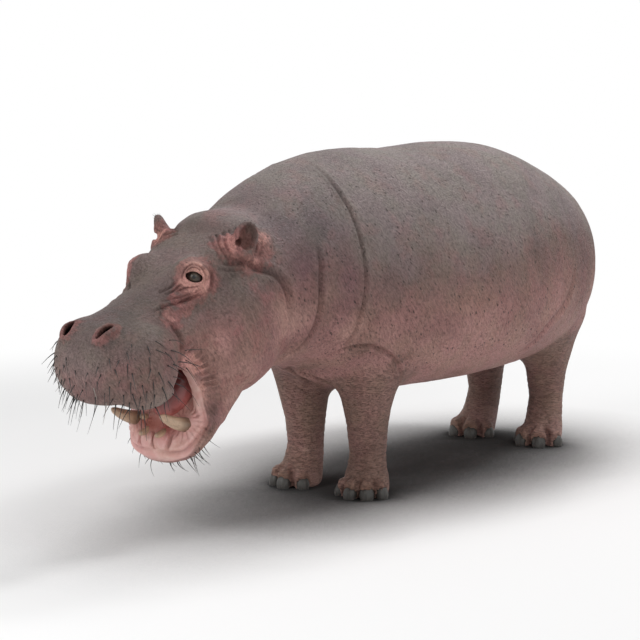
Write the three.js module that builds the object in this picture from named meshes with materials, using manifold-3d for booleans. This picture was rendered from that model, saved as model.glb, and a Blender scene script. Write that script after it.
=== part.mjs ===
// A common hippopotamus at life size, standing on its four feet with its mouth open.
// Millimetres, +Z up. It faces -Y, its left side is +X, and it stands on z = 0.
import * as THREE from "three";
import { mergeVertices } from "three/addons/utils/BufferGeometryUtils.js";
import Module from "manifold-3d";

const wasm = await Module();
wasm.setup();

// ---- Driving dimensions ----
const CROUP_HEIGHT = 1512;
const WITHERS_HEIGHT = 1516;
const BELLY_HEIGHT = 412;
const BARREL_HALF = 555; // half the width of the barrel
const RUMP_END = 1050; // how far the rump reaches behind the middle of the body
const FORE_FOOT = { side: 184, ahead: 822 }; // middle of a forefoot, from the middle of the body
const HIND_FOOT = { side: 194, ahead: -640 };
const POLL = { ahead: 1660, height: 1200 }; // top of the head, between the ears
const HEAD_PITCH = 23.5; // degrees that the face slopes down
const JAW_HINGE = { ahead: 1660, height: 800 };
const JAW_PITCH = 61.5; // degrees that the open lower jaw points down
const EYE_RADIUS = 33;
const GAP = 0.3; // left where two pieces meet
const SHOULDER_CUT = { ahead: 1130, height: 900, lean: 8 }; // where the neck is parted from the trunk
const NAIL_REACH = 106; // from the middle of a foot to the middle of a nail

const deg = THREE.MathUtils.degToRad;

// ---- Materials ----
const finish = (color, roughness) => new THREE.MeshStandardMaterial({ color, roughness, metalness: 0 });
const backHide = () => finish(0x7a6a66, 0.62);
const bellyHide = () => finish(0x8d6a62, 0.62);
const pinkHide = () => finish(0xa8766c, 0.58);
const tongueFlesh = () => finish(0x9c4f4d, 0.42);
const ivory = () => finish(0xa48c6a, 0.38);
const horn = () => finish(0x56524e, 0.55);
const eyeGloss = () => finish(0x3b362f, 0.1);

// ---- Surfaces ----
// Every frame here has the animal facing -Y: this is the point at the side, ahead and above.
const at = (side, ahead, above) => [side, -ahead, above];

// The surface through rings of points, closed with a fan at each end.
function closedRings(rings) {
  const count = rings[0].length;
  const points = rings.flat();
  const faces = [];
  for (let i = 0; i + 1 < rings.length; i++)
    for (let k = 0; k < count; k++) {
      const a = i * count + k;
      const b = i * count + ((k + 1) % count);
      faces.push(a, b, a + count, b, b + count, a + count);
    }
  const middle = (ring) =>
    ring.reduce((sum, p) => sum.add(p), new THREE.Vector3()).divideScalar(count);
  const last = (rings.length - 1) * count;
  points.push(middle(rings[0]), middle(rings.at(-1)));
  for (let k = 0; k < count; k++) {
    const next = (k + 1) % count;
    faces.push(points.length - 2, next, k);
    faces.push(points.length - 1, last + k, last + next);
  }
  const geometry = new THREE.BufferGeometry().setFromPoints(points);
  geometry.setIndex(faces);
  return geometry;
}

// A form swept through oval sections, which are joined smoothly. A section is
// [side, ahead, above, half, rise, drop, square, tilt]: its centre, its half-width, its reach
// above and below the centre, its squareness, where 2 is an ellipse, and the degrees its path
// points down.
function sweep(sections, sides, perSpan = 2) {
  const path = new THREE.CubicInterpolant(sections.map((_, i) => i), sections.flat(), 8, []);
  const steps = (sections.length - 1) * perSpan;
  return closedRings(
    Array.from({ length: steps + 1 }, (_, i) => {
      const [side, ahead, above, half, rise, drop, square, tilt] = path.evaluate(i / perSpan);
      const bend = (s) => Math.sign(s) * Math.abs(s) ** (2 / square);
      return Array.from({ length: sides }, (_, k) => {
        const angle = (2 * Math.PI * k) / sides;
        const height = bend(Math.sin(angle)) * (Math.sin(angle) > 0 ? rise : drop);
        return new THREE.Vector3(
          side + half * bend(Math.cos(angle)),
          -ahead - height * Math.sin(deg(tilt)),
          above + height * Math.cos(deg(tilt)),
        );
      });
    }),
  );
}

// An ellipsoid with these half-axes, turned by Euler angles in degrees and then placed.
function egg(halves, place, turn = [0, 0, 0], sides = 16) {
  const rotation = new THREE.Matrix4().makeRotationFromEuler(new THREE.Euler(...turn.map(deg)));
  return new THREE.SphereGeometry(1, sides, Math.round(sides * 0.65))
    .scale(...halves)
    .applyMatrix4(rotation)
    .translate(...place);
}

// ---- Solids ----
function merged(geometry) {
  const bare = geometry.clone();
  bare.deleteAttribute("normal");
  bare.deleteAttribute("uv");
  return mergeVertices(bare, 1e-3);
}

function solid(geometry) {
  const { attributes, index } = merged(geometry);
  return new wasm.Manifold(
    new wasm.Mesh({
      numProp: 3,
      vertProperties: attributes.position.array,
      triVerts: new Uint32Array(index.array),
    }),
  );
}

function surface(body) {
  const { vertProperties, triVerts } = body.getMesh();
  const geometry = new THREE.BufferGeometry()
    .setAttribute("position", new THREE.BufferAttribute(vertProperties, 3))
    .setIndex(new THREE.BufferAttribute(triVerts, 1));
  geometry.computeVertexNormals();
  return geometry;
}

const joined = (...geometries) =>
  surface(geometries.map(solid).reduce((all, next) => all.add(next)));
const without = (geometry, ...cutters) =>
  surface(cutters.map(solid).reduce((left, cutter) => left.subtract(cutter), solid(geometry)));

// The same surface, moved outwards, so that what it cuts keeps that gap to it.
function swollen(geometry) {
  const grown = merged(geometry);
  grown.computeVertexNormals();
  const { position, normal } = grown.attributes;
  position.array = position.array.map((value, i) => value + GAP * normal.array[i]);
  return grown;
}

// ---- The scene graph ----
const hippo = new THREE.Group();
const head = new THREE.Group();
const jaw = new THREE.Group();
head.position.set(...at(0, POLL.ahead, POLL.height));
head.rotation.x = deg(HEAD_PITCH);
jaw.position.set(...at(0, JAW_HINGE.ahead, JAW_HINGE.height));
jaw.rotation.x = deg(JAW_PITCH);
hippo.add(head, jaw);

// A piece is a mesh whose shape is its forms joined, less its hollows.
function piece(name, forms, material, group = hippo, hollows = []) {
  const mesh = new THREE.Mesh(without(joined(...forms), ...hollows), material);
  mesh.name = name;
  mesh.userData.forms = forms;
  group.add(mesh);
  return mesh;
}

// Cuts a piece back from the forms of others, wherever they stand in the scene.
function fitAround(mesh, others) {
  for (const each of [mesh, ...others]) each.updateWorldMatrix(true, false);
  const cutters = others.flatMap((other) =>
    other.userData.forms.map((form) => swollen(form.clone().applyMatrix4(other.matrixWorld))),
  );
  const cut = without(mesh.geometry.clone().applyMatrix4(mesh.matrixWorld), ...cutters);
  mesh.geometry = cut.applyMatrix4(mesh.matrixWorld.clone().invert());
}

const SIDES = [
  ["left", 1],
  ["right", -1],
];

// ---- Trunk, neck and tail ----
function barrelAndNeck() {
  return sweep(
    [
      [0, -RUMP_END, 895, 30, 40, 40, 2, 0],
      [0, -RUMP_END + 15, 895, 165, 180, 180, 2, 0],
      [0, -RUMP_END + 75, 890, 280, 305, 310, 2.1, 0],
      [0, -850, 885, 378, 412, 410, 2.15, 0],
      [0, -600, 870, 466, 528, 440, 2.2, 0],
      [0, -260, 860, 530, CROUP_HEIGHT - 875, 860 - BELLY_HEIGHT, 2.2, 0],
      [0, 80, 850, BARREL_HALF, CROUP_HEIGHT - 850, 850 - BELLY_HEIGHT, 2.2, 0],
      [0, 420, 850, 532, 648, 428, 2.15, 0],
      [0, 740, 872, 476, WITHERS_HEIGHT - 872, 427, 2.1, 2],
      [0, 1000, 905, 412, 577, 398, 2.1, 8],
      [0, 1220, 930, 360, 480, 350, 2.1, 16],
      [0, 1390, 935, 322, 388, 330, 2.15, 19],
      [0, 1510, 922, 306, 388, 318, 2.25, 18],
      [0, 1620, 895, 284, 388, 260, 2.35, 14],
    ],
    24,
  );
}

function tailForm() {
  return sweep(
    [
      [0, -985, 1085, 34, 26, 26, 2, 60],
      [0, -1020, 1050, 36, 30, 26, 2.2, 100],
      [0, -1062, 960, 34, 24, 24, 2.4, 112],
      [0, -1082, 850, 28, 17, 17, 2.4, 96],
      [0, -1080, 740, 24, 13, 13, 2.4, 88],
      [0, -1074, 650, 15, 9, 9, 2.2, 86],
      [0, -1072, 632, 5, 4, 4, 2, 86],
    ],
    8,
    1,
  );
}

// ---- Head ----
function faceForms() {
  const length = sweep(
    [
      [0, -60, -170, 60, 60, 60, 2, 0],
      [0, -20, -150, 190, 186, 120, 2.4, 0],
      [0, 80, -140, 218, 184, 160, 2.7, 0],
      [0, 200, -135, 208, 166, 160, 2.7, 0],
      [0, 300, -130, 186, 136, 155, 2.4, 0],
      [0, 420, -130, 164, 118, 150, 2.3, 0],
      [0, 540, -130, 168, 114, 150, 2.3, 0],
      [0, 660, -128, 182, 123, 165, 2.5, 0],
      [0, 760, -130, 182, 134, 175, 2.6, 0],
      [0, 840, -138, 156, 116, 162, 2.5, 0],
      [0, 885, -150, 104, 72, 105, 2.2, 0],
      [0, 897, -155, 40, 25, 35, 2, 0],
    ],
    18,
    1,
  );
  const crown = egg([215, 150, 130], at(0, -50, -55), [0, 0, 0], 8);
  const halves = SIDES.flatMap(([, side]) => [
    egg([106, 172, 152], at(side * 136, 700, -178), [0, 0, side * -17], 10), // lip pad
    egg([105, 150, 100], at(side * 142, 665, -275), [0, 0, 0], 8), // hanging flap of the lip
    egg([50, 78, 44], at(side * 84, 750, -34), [0, 0, side * 12], 7), // nostril mound
    egg([56, 94, 82], at(side * 114, 288, -17), [0, 0, 0], 8), // brow
    egg([80, 190, 95], at(side * 130, 390, -205), [0, 0, side * 4], 8), // under the eye
    egg([124, 250, 232], at(side * 170, 140, -318), [0, 0, 0], 10), // cheek
  ]);
  return [length, crown, ...halves];
}

// What the open mouth takes out of the head: the palate, and the way back to the throat.
const palate = () => egg([158, 290, 62], at(0, 590, -300), [4, 0, 0], 10);
const throat = () => egg([150, 200, 150], at(0, 365, -360), [0, 0, 0], 10);
const nostril = (side) => egg([12, 30, 34], at(side * 90, 770, -12), [-30, 0, side * -34], 7);

// ---- Lower jaw ----
function jawForm() {
  return sweep(
    [
      [0, -60, -20, 60, 40, 60, 2, 0],
      [0, -20, -30, 180, 90, 120, 2.2, 0],
      [0, 100, -30, 215, 100, 142, 2.4, 0],
      [0, 220, -20, 212, 104, 122, 2.5, 0],
      [0, 340, 8, 208, 92, 88, 2.6, 0],
      [0, 440, 30, 200, 80, 74, 2.7, 0],
      [0, 520, 36, 158, 60, 56, 2.5, 0],
      [0, 562, 36, 84, 28, 30, 2.2, 0],
      [0, 568, 36, 20, 8, 8, 2, 0],
    ],
    16,
    1,
  );
}

// The loose skin that hangs behind each corner of the jaw.
const jowl = (side) => egg([108, 190, 168], at(side * 140, 33, -74), [-38, 0, 0], 8);

function tongueForm() {
  return sweep(
    [
      [0, 90, 70, 60, 40, 40, 2, 0],
      [0, 120, 78, 84, 62, 56, 2.2, 0],
      [0, 220, 80, 90, 64, 60, 2.4, 0],
      [0, 320, 88, 84, 54, 50, 2.4, 0],
      [0, 385, 98, 62, 36, 34, 2.3, 0],
      [0, 404, 102, 30, 14, 14, 2, 0],
    ],
    10,
    1,
  );
}

// A tooth curves up as it runs ahead, from a root sunk in the gum to a blunt tip.
function toothForm(length, radius, curl, sides = 6) {
  const steps = 3;
  return sweep(
    Array.from({ length: steps + 1 }, (_, i) => {
      const t = i / steps;
      const width = radius * (1 - 0.78 * t ** 2.2);
      return [0, length * t, curl * t * t, width, width, width, 2, 0];
    }),
    sides,
    1,
  );
}

// ---- Ears and legs ----
// The ear stands up along its own frame's Z, with its hollow side to -Y.
const earForm = () =>
  sweep(
    [
      [0, 0, -105, 34, 36, 36, 2, -90],
      [0, 0, -60, 46, 42, 40, 2, -90],
      [0, 0, -15, 57, 38, 34, 2.1, -90],
      [0, 0, 22, 56, 28, 30, 2.1, -90],
      [0, 0, 50, 38, 18, 18, 2, -90],
      [0, 0, 64, 12, 8, 8, 2, -90],
    ],
    10,
    1,
  );
const earHollow = () => egg([42, 34, 50], at(0, 34, 8), [0, 0, 0], 8);

// A leg is a sweep straight down. Its sections are [height, inward, ahead, half, front, back].
const legForm = (side, sections) =>
  sweep(
    sections.map(([height, inward, ahead, half, front, back]) => [
      -side * inward,
      ahead,
      height,
      half,
      front,
      back,
      2.1,
      90,
    ]),
    12,
    1,
  );

const FORELEG = [
  [780, 25, -45, 95, 100, 110],
  [690, 15, -45, 150, 170, 185],
  [590, 5, -40, 150, 160, 170],
  [500, 5, -34, 128, 140, 142],
  [400, 10, -34, 105, 115, 115],
  [300, 12, -40, 88, 92, 92],
  [180, 12, -42, 80, 80, 82],
  [110, 8, -32, 88, 92, 90],
  [60, 0, -14, 99, 104, 104],
  [20, 0, -6, 103, 106, 108],
  [0, 0, -6, 97, 100, 102],
];

const HINDLEG = [
  [880, 0, -70, 110, 150, 150],
  [770, 8, -80, 158, 260, 225],
  [660, 14, -75, 162, 270, 228],
  [550, 18, -60, 150, 225, 205],
  [450, 15, -70, 122, 145, 150],
  [360, 15, -82, 97, 100, 104],
  [230, 15, -86, 83, 81, 81],
  [130, 8, -62, 86, 90, 90],
  [70, 0, -28, 98, 106, 106],
  [20, 0, -8, 102, 108, 110],
  [0, 0, -8, 96, 102, 104],
];

// Each toe's turn outwards from straight ahead, in degrees, and its size.
const FORE_TOES = [
  [-51, 0.9],
  [-1, 1],
  [42, 1],
  [84, 0.92],
];
const HIND_TOES = [
  [-82, 0.9],
  [-27, 1.04],
  [31, 1.04],
  [88, 0.9],
];

const floor = () => new THREE.BoxGeometry(900, 900, 200).translate(0, 0, -100);

function addLeg(pair, word, side, foot, sections, toes) {
  const group = new THREE.Group();
  group.position.set(...at(side * foot.side, foot.ahead, 0));
  hippo.add(group);
  const out = (turn, reach, height) => [
    reach * Math.sin(deg(turn)),
    -reach * Math.cos(deg(turn)),
    height,
  ];
  const knuckles = toes.map(([outward, size]) => {
    const turn = side * outward;
    return egg([39 * size, 46, 47 * size], out(turn, NAIL_REACH - 27, 38 * size), [14, 0, turn], 6);
  });
  const nails = toes.map(([outward, size], i) => {
    const turn = side * outward;
    const hoof = egg([30 * size, 27, 37 * size], out(turn, NAIL_REACH + 4, 25 * size), [-18, 0, turn], 6);
    return piece(`nail_${pair}_${word}_${i + 1}`, [hoof], horn(), group, [floor()]);
  });
  const forms = [legForm(side, sections), ...knuckles];
  const leg = piece(`${pair}leg_${word}`, forms, bellyHide(), group, [floor()]);
  for (const nail of nails) fitAround(nail, [leg]);
  return leg;
}

// ---- Assembly ----
const legs = SIDES.flatMap(([word, side]) => [
  addLeg("fore", word, side, FORE_FOOT, FORELEG, FORE_TOES),
  addLeg("hind", word, side, HIND_FOOT, HINDLEG, HIND_TOES),
]);

const hollows = [palate(), throat(), nostril(1), nostril(-1)];
const skull = piece("head", faceForms(), backHide(), head, hollows);
const lowerJaw = piece("lower_jaw", [jawForm(), jowl(1), jowl(-1)], pinkHide(), jaw);
const tongue = piece("tongue", [tongueForm()], tongueFlesh(), jaw);

const teeth = SIDES.flatMap(([word, side]) => {
  const set = (name, form, group, place, lean) => {
    const tooth = piece(`${name}_${word}`, [form], ivory(), group);
    tooth.position.set(...place);
    tooth.rotation.x = deg(lean);
    return tooth;
  };
  return [
    set("tusk", toothForm(205, 27, 62, 8), jaw, at(side * 128, 398, 52), -62),
    set("incisor_centre", toothForm(118, 14, 6), jaw, at(side * 42, 424, 63), -48),
    set("incisor_side", toothForm(84, 11, 6), jaw, at(side * 80, 393, 44), -70),
    set("upper_canine", toothForm(110, 22, -20), head, at(side * 130, 740, -205), 80),
    set("upper_incisor", toothForm(85, 13, -10), head, at(side * 45, 795, -210), 78),
  ];
});

const eyes = SIDES.map(([word, side]) => {
  const ball = egg([EYE_RADIUS, EYE_RADIUS, EYE_RADIUS], [0, 0, 0], [0, 0, 0], 8);
  const eye = piece(`eye_${word}`, [ball], eyeGloss(), head);
  eye.position.set(...at(side * 151, 290, -22));
  return eye;
});

const ears = SIDES.map(([word, side]) => {
  const ear = piece(`ear_${word}`, [earForm()], pinkHide(), head, [earHollow()]);
  ear.position.set(...at(side * 224, 26, 20));
  ear.rotation.set(deg(-HEAD_PITCH), deg(side * 14), deg(side * 50));
  return ear;
});

// Half of all space, ahead of the shoulder cut or behind it, less half a gap.
const halfSpace = (isAhead) =>
  new THREE.BoxGeometry(3000, 3000, 3000)
    .translate(0, isAhead ? GAP / 2 - 1500 : 1500 - GAP / 2, 0)
    .rotateX(deg(-SHOULDER_CUT.lean))
    .translate(...at(0, SHOULDER_CUT.ahead, SHOULDER_CUT.height));
const trunk = piece("trunk", [barrelAndNeck()], backHide(), hippo, [halfSpace(true)]);
const neck = piece("neck", [barrelAndNeck()], backHide(), hippo, [halfSpace(false)]);
const tail = piece("tail", [tailForm()], backHide());

const lowerTeeth = teeth.filter((tooth) => tooth.parent === jaw);
const upperTeeth = teeth.filter((tooth) => tooth.parent === head);
for (const each of [tongue, ...lowerTeeth]) fitAround(each, [lowerJaw]);
fitAround(skull, [lowerJaw, tongue, ...upperTeeth, ...eyes]);
fitAround(neck, [skull, lowerJaw, tongue]);
for (const each of [...legs, tail]) fitAround(each, [trunk]);
for (const ear of ears) fitAround(ear, [skull, neck]);

// The frame's origin lies on the floor, under the middle of the animal.
const extent = new THREE.Box3().setFromObject(hippo, true);
hippo.position.y = -(extent.min.y + extent.max.y) / 2;

export default hippo;
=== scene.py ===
# A life-size hippopotamus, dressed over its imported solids: one skin over all the flesh, with
# glossy eyes, ivory teeth, a tongue, horny nails and bristles as pieces of their own.
# Metres, +Z up. It faces -Y, its left side is +X, and it stands on z = 0.
import math

import bpy
import numpy as np
import openvdb as vdb
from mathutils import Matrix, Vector


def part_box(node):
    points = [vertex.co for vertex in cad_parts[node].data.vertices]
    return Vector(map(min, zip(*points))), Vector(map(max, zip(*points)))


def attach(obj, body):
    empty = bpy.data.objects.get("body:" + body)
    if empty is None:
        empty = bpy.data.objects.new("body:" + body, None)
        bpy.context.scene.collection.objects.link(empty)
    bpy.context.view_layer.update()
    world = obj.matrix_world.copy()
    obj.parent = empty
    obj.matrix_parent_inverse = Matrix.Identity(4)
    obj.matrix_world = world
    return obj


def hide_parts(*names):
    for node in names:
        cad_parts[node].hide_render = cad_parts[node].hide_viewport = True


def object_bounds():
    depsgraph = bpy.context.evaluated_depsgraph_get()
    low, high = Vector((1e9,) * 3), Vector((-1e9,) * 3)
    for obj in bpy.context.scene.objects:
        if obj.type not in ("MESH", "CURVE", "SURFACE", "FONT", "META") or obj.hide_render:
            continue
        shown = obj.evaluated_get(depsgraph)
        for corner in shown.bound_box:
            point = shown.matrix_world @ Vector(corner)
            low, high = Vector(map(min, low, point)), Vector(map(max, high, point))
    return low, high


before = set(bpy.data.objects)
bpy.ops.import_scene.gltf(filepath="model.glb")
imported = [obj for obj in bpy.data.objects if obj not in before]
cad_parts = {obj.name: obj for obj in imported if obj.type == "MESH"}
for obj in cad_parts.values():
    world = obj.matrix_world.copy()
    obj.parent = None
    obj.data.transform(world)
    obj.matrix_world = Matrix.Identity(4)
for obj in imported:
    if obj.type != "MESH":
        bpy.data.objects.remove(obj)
CAD_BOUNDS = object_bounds()

# ---- Driving sizes ----
HEAD_PITCH = math.radians(23.5)  # how far the face slopes down
JAW_PITCH = math.radians(61.5)  # how far the open lower jaw points down
EYE_AHEAD, EYE_ABOVE = 0.290, -0.022  # the eyes, seen from the poll along the face
HINGE_DROP = 0.400  # the jaw's hinge, straight below the poll
COARSEN = 1.0  # how much wider the skin's grid is while trying things
SIDES = (("left", 1), ("right", -1))
SEED = 41
MM = 0.001  # small folds are given in millimetres


# ---- Places ----
def unit(vector):
    vector = np.asarray(vector, float)
    return vector / np.linalg.norm(vector)


def middle_of(node):
    low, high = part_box(node)
    return (np.array(low) + np.array(high)) / 2


class Place:
    """An origin with three axes, along which side, ahead and above are measured."""

    def __init__(self, origin, axes):
        self.origin, self.axes = np.array(origin, float), np.array(axes, float)

    def world(self, side, ahead, above):
        return self.origin + np.array([side, ahead, above]) @ self.axes

    def path(self, points, side=1):
        """Points given for the left side, in the world and for either side."""
        return [self.world(side * x, y, z) for x, y, z in points]

    def local(self, points):
        return (points - self.origin) @ self.axes.T


def pitched(angle):
    """Axes to the animal's left, ahead and up, pitched down by an angle."""
    sine, cosine = math.sin(angle), math.cos(angle)
    return np.array([[1, 0, 0], [0, -cosine, -sine], [0, -sine, cosine]])


def poll_origin():
    """The top of the head between the ears, worked out from where the eyes are."""
    eyes = (middle_of("eye_left") + middle_of("eye_right")) / 2
    return eyes - np.array([0, EYE_AHEAD, EYE_ABOVE]) @ pitched(HEAD_PITCH)


HEAD = Place(poll_origin(), pitched(HEAD_PITCH))
JAW = Place(HEAD.origin - (0, 0, HINGE_DROP), pitched(JAW_PITCH))
WORLD = Place((0, 0, 0), np.eye(3))  # the frame's own x, y and z


def turned(axes, turn, about):
    """Axes turned by degrees about their own axis 0, 1 or 2."""
    angle = math.radians(turn)
    first, second = [i for i in range(3) if i != about]
    result = np.array(axes, float)
    result[first] = math.cos(angle) * axes[first] + math.sin(angle) * axes[second]
    result[second] = -math.sin(angle) * axes[first] + math.cos(angle) * axes[second]
    return result


# ---- Shapes as distances ----
class Shape:
    """A distance function of local u, v, w, round an origin, with the reach of what it changes."""

    def __init__(self, origin, axes, reach, distance):
        self.origin, self.axes, self.reach, self.distance = origin, axes, reach, distance


def egg(place, centre, halves, turn=0, about=2):
    axes = turned(place.axes, turn, about)

    def distance(u, v, w):
        a, b, c = (t / h for t, h in zip((u, v, w), halves))
        inner = np.sqrt(a * a + b * b + c * c) + 1e-6
        slope = np.sqrt((a / halves[0]) ** 2 + (b / halves[1]) ** 2 + (c / halves[2]) ** 2)
        return inner * (inner - 1) / (slope + 1e-6)

    return Shape(place.world(*centre), axes, max(halves), distance)


def tube(place, points, radii):
    """A rounded tube through points, given in a place's side, ahead and above."""
    path = np.array(place.path(points))
    radii = np.broadcast_to(radii, len(path))
    origin = path.mean(0)
    reach = np.linalg.norm(path - origin, axis=1).max() + radii.max()

    def distance(u, v, w):
        nearest = None
        for i in range(len(path) - 1):
            start, along = path[i] - origin, path[i + 1] - path[i]
            rel = (u - start[0], v - start[1], w - start[2])
            t = sum(r * a for r, a in zip(rel, along)) / (along @ along)
            t = np.clip(t, 0, 1)
            gap = np.sqrt(sum((r - t * a) ** 2 for r, a in zip(rel, along)))
            gap = gap - (radii[i] + t * (radii[i + 1] - radii[i]))
            nearest = gap if nearest is None else np.minimum(nearest, gap)
        return nearest

    return Shape(origin, np.eye(3), reach, distance)


def slab(place, outline, centre_side, half, rounding):
    """A plate that follows an outline of (ahead, above) points, at one side of the animal."""
    corners = np.array(outline)
    middle = corners.mean(0)
    corners = corners - middle
    reach = np.linalg.norm(corners, axis=1).max() + half

    def distance(u, v, w):
        nearest, inside = None, 1.0
        for (ax, ay), (bx, by) in zip(corners, np.roll(corners, -1, 0)):
            ex, ey = bx - ax, by - ay
            px, py = v - ax, w - ay
            t = np.clip((px * ex + py * ey) / (ex * ex + ey * ey), 0, 1)
            square = (px - t * ex) ** 2 + (py - t * ey) ** 2
            nearest = square if nearest is None else np.minimum(nearest, square)
            crosses = ((w >= ay) != (w >= by)) & ((v - ax) * (by - ay) * np.sign(by - ay)
                                                   < ex * (w - ay) * np.sign(by - ay))
            inside = inside * np.where(crosses, -1.0, 1.0)
        flat = inside * np.sqrt(nearest) + rounding
        side = np.abs(u) - half + rounding
        outer = np.sqrt(np.maximum(flat, 0) ** 2 + np.maximum(side, 0) ** 2)
        return outer + np.minimum(np.maximum(flat, side), 0) - rounding

    return Shape(place.world(centre_side, *middle), place.axes, reach, distance)


def smooth_min(a, b, blend):
    if blend <= 0:
        return np.minimum(a, b)
    h = np.clip(0.5 + 0.5 * (b - a) / blend, 0, 1)
    return b + h * (a - b) - blend * h * (1 - h)


# ---- The field that the skin is taken from ----
def grid_lines(start, *stretches):
    """Grid lines along one axis: each stretch is where it ends and its spacing."""
    lines = [np.array([start])]
    for end, spacing in stretches:
        count = max(1, round((end - start) / (spacing * COARSEN)))
        lines.append(np.linspace(start, end, count + 1)[1:])
        start = end
    return np.concatenate(lines).astype(np.float32)


FAR = 0.5  # a distance at which nothing is near
BLUR_STEPS = 2.4  # grid steps in one softness of a blur
BLUR_REACH = 2.6  # how far a blur reads, in softnesses


class Field:
    """Distances to the skin, negative inside, on a grid that is finest at the head and feet."""

    def __init__(self, lines):
        self.lines = lines
        self.values = np.full([len(line) for line in lines], FAR, np.float32)

    def window(self, low, high):
        spans = [
            slice(*np.searchsorted(line, (a, b))) for line, a, b in zip(self.lines, low, high)
        ]
        return tuple(spans), np.ix_(*(line[span] for line, span in zip(self.lines, spans)))

    def measured(self, shape, margin):
        reach = shape.reach + margin
        spans, grid = self.window(shape.origin - reach, shape.origin + reach)
        rel = [line - o for line, o in zip(grid, shape.origin)]
        local = [sum(r * np.float32(a) for r, a in zip(rel, axis)) for axis in shape.axes]
        return spans, shape.distance(*local).astype(np.float32)

    def join(self, shape, blend=0.0):
        spans, distance = self.measured(shape, blend + 0.01)
        self.values[spans] = smooth_min(self.values[spans], distance, blend)

    def carve(self, shape, blend=0.0):
        spans, distance = self.measured(shape, blend + 0.01)
        self.values[spans] = -smooth_min(-self.values[spans], distance, blend)

    def join_nodes(self, names, softness, blend, grow):
        """Joins CAD nodes, blurred by a softness that takes away their facets."""
        values, axes = solid_distances(names, 3 * softness + blend, softness / BLUR_STEPS)
        low = [axis[0] + softness for axis in axes]
        high = [axis[-1] - softness for axis in axes]
        spans, _ = self.window(low, high)
        for i, span in enumerate(spans):
            values = blurred_onto(self.lines[i][span], values, axes[i], softness, i)
        self.values[spans] = smooth_min(self.values[spans], values - np.float32(grow), blend)

    def cut_below(self, height):
        heights = self.lines[2][None, None, :]
        self.values = np.maximum(self.values, height - heights)

    def surface(self):
        """The skin's points and four-cornered faces."""
        band = 0.02
        grid = vdb.FloatGrid(band)
        grid.copyFromArray(np.clip(self.values, -band, band))
        index, quads = grid.convertToQuads(0.0)
        lines = [np.arange(len(line)) for line in self.lines]
        points = [np.interp(index[:, i], lines[i], self.lines[i]) for i in range(3)]
        return np.stack(points, 1), quads.astype(int)


def blurred_onto(fine, values, coarse, softness, axis):
    """Values on even coarse lines, blurred along one axis and read at the fine lines."""
    step = coarse[1] - coarse[0]
    reach = math.ceil(BLUR_REACH * softness / step)
    nearest = np.round((fine - coarse[0]) / step).astype(int)
    shape = [-1 if i == axis else 1 for i in range(3)]
    total, whole = 0, 0
    for tap in range(-reach, reach + 1):
        index = np.clip(nearest + tap, 0, len(coarse) - 1)
        weight = np.exp(-(((fine - coarse[index]) / softness) ** 2) / 2).astype(np.float32)
        total = total + weight.reshape(shape) * values.take(index, axis)
        whole = whole + weight
    return total / whole.reshape(shape)


def node_arrays(node):
    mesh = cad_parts[node].data
    mesh.calc_loop_triangles()
    points = np.empty(len(mesh.vertices) * 3, np.float32)
    mesh.vertices.foreach_get("co", points)
    corners = np.empty(len(mesh.loop_triangles) * 3, np.int32)
    mesh.loop_triangles.foreach_get("vertices", corners)
    return points.reshape(-1, 3), corners.reshape(-1, 3)


def solid_distances(names, band, step):
    """Distances to nodes joined into one, on an even grid, and that grid's three axes."""
    meshes = [node_arrays(name) for name in names]
    everything = np.concatenate([points for points, _ in meshes])
    low = np.floor((everything.min(0) - band) / step).astype(int)
    size = np.ceil((everything.max(0) + band) / step).astype(int) - low + 1
    transform = vdb.createLinearTransform(step)
    closing = 0.002  # nodes that touch are grown by this much to close the gap between them

    def values_of(points, width, **faces):
        grid = vdb.FloatGrid.createLevelSetFromPolygons(
            points, transform=transform, halfWidth=width, **faces
        )
        values = np.empty(size, np.float32)
        grid.copyToArray(values, ijk=tuple(int(i) for i in low))
        return values

    width = band / step
    if len(meshes) == 1:
        values = values_of(meshes[0][0], width, triangles=meshes[0][1])
    else:
        union = np.minimum.reduce([values_of(p, 3, triangles=t) for p, t in meshes])
        grid = vdb.FloatGrid(3 * step)
        grid.copyFromArray(union, ijk=tuple(int(i) for i in low))
        grid.transform = transform
        points, quads = grid.convertToQuads(closing)
        values = values_of(points.astype(np.float32), width, quads=quads) + closing
    axes = [(np.arange(n) + start) * step for n, start in zip(size, low)]
    return values, axes


def skin_lines():
    """The skin's grid: about 5 mm at the head and feet, wider along the trunk."""
    low, high = CAD_BOUNDS
    fore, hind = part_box("foreleg_left"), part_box("hindleg_left")
    face_end = HEAD.origin[1] + 0.10
    margin = 0.05
    across = grid_lines(
        low[0] - margin, (-0.29, 0.0095), (-0.09, 0.0048), (0.09, 0.006), (0.29, 0.0048),
        (high[0] + margin, 0.0095),
    )
    along = grid_lines(
        low[1] - margin, (face_end, 0.005), (fore[0][1], 0.009), (fore[1][1], 0.0065),
        (hind[0][1], 0.014), (hind[1][1], 0.0065), (high[1] + margin, 0.0095),
    )
    up = grid_lines(-0.03, (0.17, 0.005), (0.30, 0.008), (1.25, 0.0052), (high[2] + margin, 0.0095))
    return across, along, up


# ---- The head's own forms ----
EYE_RADIUS = (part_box("eye_left")[1][2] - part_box("eye_left")[0][2]) / 2
EYE_OUT = (0.64, -0.75, 0.14)  # the way that the left eye looks
LID = 0.010  # thickness of the eyelids
OPENING = (0.034, 0.0198)  # half the length and height of the opening between the lids
OPENING_TILT = -14  # degrees that its front corner dips
OPENING_START = 0.3  # where it starts, from the eye's middle, in radii
NOSTRIL = (0.092, 0.772, -0.008)  # its middle, on the left side of the head
NOSTRIL_TURN = 13.5  # degrees that its front end turns in
NOSTRIL_RIM = (0.049, 0.023)  # half the length and width of the ring round it
EAR_CENTRE = (0.224, 0.026, 0.020)  # on the left side of the head
EAR_TURN, EAR_LEAN = math.radians(50), math.radians(14)  # how its cup turns and its tip leans


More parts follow.
